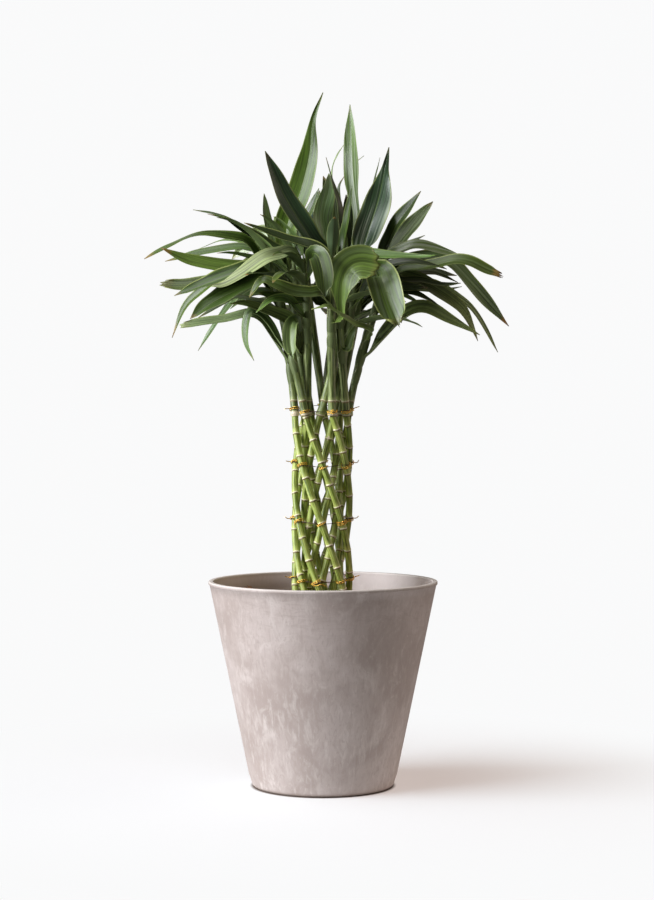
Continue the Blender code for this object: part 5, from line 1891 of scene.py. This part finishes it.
    def grow_leaf(self, draft: MeshDraft, number: int, stem: Stem, leaf: Leaf, choice: Pair,
                  sign: int) -> None:
        """Builds a leaf as one closed strip: a sheath round the stem, a channelled neck and the blade.

        Args:
            draft: Where it goes.
            number: The leaf's number, which varies it.
            stem: Its stem.
            leaf: The leaf.
            choice: How it is bent aside.
            sign: Which way its blade turns.
        """
        shape = self.shape
        look = leaf.look
        draw = random.Random(SEED * 1000 + number)
        drawn = leaf._replace(face=1) if isinstance(leaf, Seen) else leaf
        underside = isinstance(leaf, Seen) and leaf.face < 0
        route, faced, _ = self.laid(stem, drawn, choice, shape.stations, 0 if underside else sign)
        length = sum((b - a).length for a, b in zip(route, route[1:]))
        height = self.plan.shoot_height
        drop = min(shape.sheath_drop * draw.uniform(0.85, 1.15), leaf.at - 0.02)
        sheath = [1 - k / shape.sheath_stations for k in range(shape.sheath_stations)]
        path = [self.plan.shoot(stem, leaf.at - drop * part) for part in sheath] + route
        parts = [-(drop * height) * part / length for part in sheath]
        parts.extend(i / (len(route) - 1) for i in range(len(route)))
        ways = tangents(path)
        away = square_to(ways[0], path[shape.sheath_stations + len(route) // 3] - path[shape.sheath_stations])
        carried = transport(ways, -away)
        turns = self.blade_turns(ways, carried, faced, parts)
        outline = look.outline or leaf.outline
        width = leaf.width * 0.001 * look.breadth
        phase = [draw.uniform(0, TURN) for _ in range(4)]
        waves = draw.uniform(*shape.wave_count)
        wave = width * shape.wave * draw.uniform(*shape.wave_size)
        lean = draw.uniform(-0.05, 0.05)
        blunt = shape.soft_width(outline, 1) > 0.2
        jag = [draw.uniform(-1, 1) for _ in shape.shares]
        tone = [value * draw.uniform(0.90, 1.10) for value in look.tone.value]
        fold = look.fold * draw.uniform(*shape.folds)
        rows = []
        for i, (spot, way, part) in enumerate(zip(path, ways, parts)):
            normal = Matrix.Rotation(turns[i] + shape.twist * math.sin(5 * part + phase[0]) * smooth(part),
                                     3, way) @ carried[i]
            side = way.cross(normal).normalized()
            bladed = smooth((part + 0.02) / 0.17)
            at = leaf.at + part * length / height if part < 0.1 else 1
            grown = 1 + part * length / (drop * height)
            hug = self.stem_width(min(max(at, 0), 1)) - shape.sheath_gap
            hug += 2 * shape.sheath_gap * smooth(grown * 2.5)
            hug += shape.sheath_flare * smooth(grown) * (1 - leaf.at)
            neck = shape.neck_width * (1 - smooth((part - 0.05) / 0.20))
            wide = max(width * shape.soft_width(outline, part), shape.tip_width, neck)
            wrap_blade = min(4 * (shape.trough(max(part, 0)) + fold * smooth(part * 3)), 1.25)
            wrap = blend(shape.sheath_wrap - 0.7 * smooth(1 + part * 20), wrap_blade, bladed)
            reach = blend(hug, 0.5 * wide / math.sin(wrap_blade), bladed)
            offset = blend(-hug, -0.5 * (reach * (1 - math.cos(wrap))), bladed)
            crease = shape.crease * smooth(part * 5)
            ruffle = wave * smooth((part - 0.2) / 0.2) * smooth((1 - part) / 0.12)
            upper = []
            lower = []
            for j, u in enumerate(shape.shares):
                turn = u * wrap
                rise = (1 - crease) * (1 - math.cos(turn)) + crease * abs(u) * (1 - math.cos(wrap))
                stray = math.sin(TURN * waves * part + phase[1 if u < 0 else 2]) * abs(u) ** 2.4 * ruffle
                out = reach * math.sin(turn) * (1 + lean * (1 if u > 0 else -1))
                place = spot + side * out + normal * (offset + reach * rise + stray)
                if blunt:
                    torn = shape.tear_step * jag[j] - shape.tear_round * abs(u) ** 2.5
                    place = place + way * torn * smooth((part - 0.90) / 0.10)
                half = 0.5 * blend(shape.thickness, shape.margin_thickness, u * u)
                face = (normal * math.cos(turn) - side * math.sin(turn)) * half
                values = {"blade": (out * 1000, part * length * 1000, number * 11.3),
                          "marks": (look.edge, look.dry, look.sheen_streaks), "tone": (*tone, 1)}
                if abs(u) > 0.99:
                    upper.append(draft.point(self.held(place), share=(u, part, 0), **values))
                    continue
                upper.append(draft.point(self.held(place + face), share=(u, part, 0), **values))
                lower.append(draft.point(self.held(place - face), share=(u, part, 1), **values))
            rows.append(upper + lower[::-1])
        draft.rings(rows)
        self.close_end(draft, rows[0], False)
        self.close_end(draft, rows[-1], True)

    def blade_turns(self, ways: Route, carried: Route, faced: Route, parts: Sequence[float]) -> list[float]:
        """Gives how far a leaf turns on its midrib from its sheath's facing to its blade's.

        Args:
            ways: Directions of the midrib, sheath first.
            carried: Facing that the sheath would carry on.
            faced: Facing of the blade, from the stem on.
            parts: Part of the blade's length at each point, below nought in the sheath.

        Returns:
            The turn at each point, in radians.
        """
        first = len(ways) - len(faced)
        settled = first + len(faced) // 3
        turns = [0] * len(ways)
        for i in range(first, len(ways)):
            a, b = carried[i], faced[i - first]
            turns[i] = math.atan2(a.cross(b).dot(ways[i]), a.dot(b))
        for i in range(settled + 1, len(ways)):
            turns[i] = turns[i - 1] + math.remainder(turns[i] - turns[i - 1], TURN)
        for i in range(settled - 1, first - 1, -1):
            turns[i] = turns[i + 1] + math.remainder(turns[i] - turns[i + 1], TURN)
        return [turn * smooth((part - 0.03) / 0.27) for turn, part in zip(turns, parts)]

    def held(self, place: Vector) -> Vector:
        """Keeps a point inside the object's box."""
        low, high = CAD_BOX
        return Vector(min(max(place[k], low[k] + 0.0001), high[k] - 0.0001) for k in range(3))

    def close_end(self, draft: MeshDraft, row: Sequence[int], last: bool) -> None:
        """Closes an end of a leaf with faces between its two skins.

        Args:
            draft: Where the leaf is.
            row: Numbers of the points round the end.
            last: Whether it is the tip and not the foot.
        """
        count = len(self.shape.shares)
        for j in range(count - 1):
            under = (row[-j] if j else row[0], row[-j - 1] if j < count - 2 else row[j + 1])
            face = tuple(dict.fromkeys((row[j], *under, row[j + 1])))
            draft.faces.append(face[::-1] if last else face)

    def build(self) -> None:
        """Builds the stems and grows their leaves, one mesh for each shoot's leaves."""
        drafts = {stem.name: MeshDraft() for stem in STEMS}
        for number, stem, leaf, choice, sign in self.placed_leaves():
            self.grow_leaf(drafts[stem.name], number, stem, leaf, choice, sign)
        leaf_finish = self.finish.make()
        bark = self.bark.make()
        for number, stem in enumerate(STEMS):
            self.build_stem(stem, number, bark)
            leaves = drafts[stem.name].make(f"leafy_shoot_{stem.name}_leaves", leaf_finish)
            finished(leaves, "leaf", f"leafy_shoot_{stem.name}")


@dataclass
class WireTies:
    """Gold wire ties: a thin dark wire round the tower and a gold coil on each outer cane."""

    plan: TowerPlan
    sweep: SweepTree
    heights: tuple[float, ...] = (0.254, 0.325, 0.394, 0.460)
    tilt: float = 0.0040
    gold_radius: float = 0.00034
    dark_radius: float = 0.00030
    coil_turns: float = 2
    coil_pitch: float = 0.00190
    coil_slip: float = 0.0008
    coil_sag: float = 0.0009
    coil_wobble: float = 0.035
    points_per_turn: int = 96
    strand_pitch: float = 0.0030
    dark_pitch: float = 0.0042
    end_pitch: float = 0.0028
    tail_pitch: float = 0.0026
    end_length: float = 0.0066
    wrap_step: float = math.radians(24)
    tail_start: Colour = (-0.006, -0.001, -0.001)
    tail: tuple[Colour, ...] = ((0, 0, 0), (0.006, -0.0035, -0.002), (0.013, -0.004, 0),
                                (0.019, -0.003, -0.003))
    gold: TwistWire = TwistWire("gold_wire", (0.98, 0.64, 0.14), (0.42, 0.20, 0.05), (0.16, 0.38), 1)
    dark: TwistWire = TwistWire("dark_wire", (0.070, 0.036, 0.022), (0.190, 0.110, 0.060), (0.36, 0.58), 0.3)

    def centres(self, height: float) -> list[tuple[float, Vector, Vector]]:
        """Gives where a tie meets the outer canes.

        Args:
            height: Height of the tie.

        Returns:
            For each cane round the tower: its angle, its centre there and its direction.
        """
        found = []
        for stem in (stem for stem in STEMS if stem.outer):
            z = height
            for _ in range(3):
                z = height - self.tilt * math.cos(self.plan.angle(stem, z))
            centre = self.plan.stem_point(stem, z)
            way = (self.plan.stem_point(stem, z + 0.002) - self.plan.stem_point(stem, z - 0.002)).normalized()
            found.append((math.atan2(centre.x - self.plan.centre_x, -centre.y) % TURN, centre, way))
        return sorted(found, key=lambda item: item[0])

    def coil(self, draft: MeshDraft, angle: float, centre: Vector, way: Vector, draw: random.Random) -> None:
        """Adds a gold coil round a cane.

        Args:
            draft: Where its route goes.
            angle: The cane's angle round the tower.
            centre: Centre of the coil.
            way: Direction of the cane.
            draw: Source of its small differences.
        """
        radius = self.plan.node_radius + self.gold_radius * 1.4
        outward = square_to(way, polar(1, angle, 0))
        aside = way.cross(outward)
        turns = self.coil_turns + draw.choice((-0.5, 0, 0, 0.5))
        slip = draw.uniform(-self.coil_slip, self.coil_slip)
        sag = draw.uniform(-self.coil_sag, self.coil_sag)
        places = []
        for k in range(int(turns * self.points_per_turn) + 1):
            turn = TURN * k / self.points_per_turn + math.pi
            rise = (k / self.points_per_turn - 0.5 * turns) * self.coil_pitch + slip + sag * math.sin(turn)
            wobble = 1 + self.coil_wobble * math.sin(2.3 * turn + angle)
            around = outward * math.cos(turn) + aside * math.sin(turn)
            places.append(centre + way * rise + around * radius * wobble)
        self.twisted(draft, places, self.gold_radius, self.strand_pitch)

    def twisted(self, draft: MeshDraft, path: Route, radius: float, pitch: float) -> None:
        """Adds two strands twisted along a path.

        Args:
            draft: Where their routes go.
            path: The path, in short steps.
            radius: Radius of each strand.
            pitch: Length of one whole twist.
        """
        ways = tangents(path)
        sides = transport(ways, ways[0].orthogonal().normalized())
        count = len(path)
        for strand in (0, math.pi):
            places = []
            reach = 0
            for i, (spot, way, side) in enumerate(zip(path, ways, sides)):
                reach += (spot - path[i - 1]).length if i else 0
                turn = TURN * reach / pitch + strand
                off = side * math.cos(turn) + way.cross(side) * math.sin(turn)
                places.append(spot + off * radius * 0.95)
            draft.route(places, thick=[radius] * count, along=[0] * count)

    def build(self) -> None:
        """Builds the gold and the dark wire of each tie."""
        finishes = (self.gold.make(), self.dark.make())
        for number, height in enumerate(self.heights, 1):
            draw = random.Random(SEED * 10 + number)
            coils = MeshDraft()
            spans = MeshDraft()
            loop = []
            for angle, centre, way in self.centres(height):
                self.coil(coils, angle, centre, way, draw)
                for k in range(-4, 5):
                    turn = angle + self.wrap_step * k
                    loop.append(centre + polar(self.plan.node_radius + self.dark_radius, turn, 0))
            loop.append(loop[0])
            fine = [a.lerp(b, k / 6) for a, b in zip(loop, loop[1:]) for k in range(6)]
            self.twisted(spans, fine, self.dark_radius, self.dark_pitch)
            for way in (-1, 1):
                start = max(loop, key=lambda place: place.x * way)
                bend = Vector((0.62 * way * self.end_length, -0.0016, draw.uniform(-0.001, 0.002)))
                tip = Vector((way * self.end_length, -0.0030, draw.uniform(-0.002, 0.003)))
                self.twisted(coils, spline([start, start + bend, start + tip], 16), self.gold_radius,
                             self.end_pitch)
            if number == 1:
                start = min(loop, key=lambda place: place.y) + Vector(self.tail_start)
                tail = [start + Vector(offset) for offset in self.tail]
                self.twisted(coils, spline(tail, 34), self.gold_radius * 0.85, self.tail_pitch)
            for draft, name, finish in zip((coils, spans), ("gold", "dark"), finishes):
                source = draft.make(f"tie_route_{name}_{number}")
                piece = self.sweep.grow(source, f"wire_tie_{number}_{name}", sides=6, finish=finish)
                finished(piece, "wire", f"wire_tie_{number}")


class Softbox(NamedTuple):
    """An area light: its name, where it hangs, what it is aimed at, its size, its power and its colour."""

    name: str
    place: Colour
    target: Colour
    size: float
    watts: float
    tint: Colour


@dataclass
class Studio:
    """Pale floor, white surround, softboxes and the camera at the front."""

    eye: Colour = (0, -2.6, 0.477)
    lens: float = 85
    sensor: float = 36
    shift: Pair = (0.00444, -0.0612)
    floor_reach: float = 30
    white: Colour = (0.955, 0.957, 0.960)
    sky_light: float = 0.14
    sky_shine: float = 0.19
    sky_warmth: Colour = (0.960, 0.800, 0.660)
    lights: tuple[Softbox, ...] = (
        Softbox("key", (-4.35, -1.58, 1.75), (0, 0, 0.40), 3.3, 384, (0.96, 0.985, 1.03)),
        Softbox("fill", (4.4, 0.8, 1.4), (0, 0, 0.35), 2.6, 47, (1, 0.82, 0.71)),
        Softbox("top", (-1.5, -0.8, 4.1), (0, 0, 0), 3, 92, (1, 1, 1)),
    )
    finish: StudioFloor = StudioFloor()

    def aimed(self, name: str, data: bpy.types.ID, place: Colour, target: Colour) -> Piece:
        """Puts a camera or light in its place and aims it."""
        made = linked(name, data)
        made.location = place
        made.rotation_euler = (Vector(target) - Vector(place)).to_track_quat("-Z", "Y").to_euler()
        return made

    def build(self) -> None:
        """Builds the floor, the surround, the lights and the camera."""
        scene = bpy.context.scene
        scene.view_settings.view_transform = "Standard"
        draft = MeshDraft()
        corners = ((-1, -1), (1, -1), (1, 1), (-1, 1))
        draft.faces.append(tuple(draft.point(Vector((x, y, 0)) * self.floor_reach) for x, y in corners))
        draft.make("studio_floor", self.finish.make())
        self.surround(scene)
        for box in self.lights:
            lamp = bpy.data.lights.new(box.name, "AREA")
            lamp.shape = "SQUARE"
            lamp.size = box.size
            lamp.energy = box.watts
            lamp.color = box.tint
            self.aimed(box.name, lamp, box.place, box.target)
        camera = bpy.data.cameras.new("front_camera")
        camera.lens = self.lens
        camera.sensor_fit = "VERTICAL"
        camera.sensor_height = self.sensor
        camera.shift_x, camera.shift_y = self.shift
        scene.camera = self.aimed("front_camera", camera, self.eye, (self.eye[0], 0, self.eye[2]))

    def surround(self, scene: bpy.types.Scene) -> None:
        """Gives the scene a white surround that lights the object only a little."""
        scene.world = bpy.data.worlds.new("white_studio")
        scene.world.use_nodes = True
        graph = Graph(scene.world.node_tree)
        rays = graph.node("ShaderNodeLightPath", {}).outputs
        shown = graph.times(rays["Is Camera Ray"], 1 - self.sky_light)
        shine = graph.times(rays["Is Glossy Ray"], self.sky_shine - self.sky_light)
        sky = graph.tree.nodes["Background"]
        graph.feed(sky.inputs["Color"], graph.mix(rays["Is Camera Ray"], self.sky_warmth, self.white))
        graph.feed(sky.inputs["Strength"], graph.add(graph.add(shown, shine), self.sky_light))


def main() -> None:
    """Builds the object and the studio round it."""
    logging.basicConfig(level=logging.INFO, format="%(name)s: %(message)s")
    plan = TowerPlan()
    sweep = SweepTree()
    planter = Planter()
    for part in (planter, SoilBed(planter), MulchBed(planter), CaneTower(plan, sweep),
                 Crown(plan, FrontView(), sweep), WireTies(plan, sweep), Studio()):
        LOG.info("building %s", type(part).__name__)
        part.build()


if __name__ == "__main__":
    main()
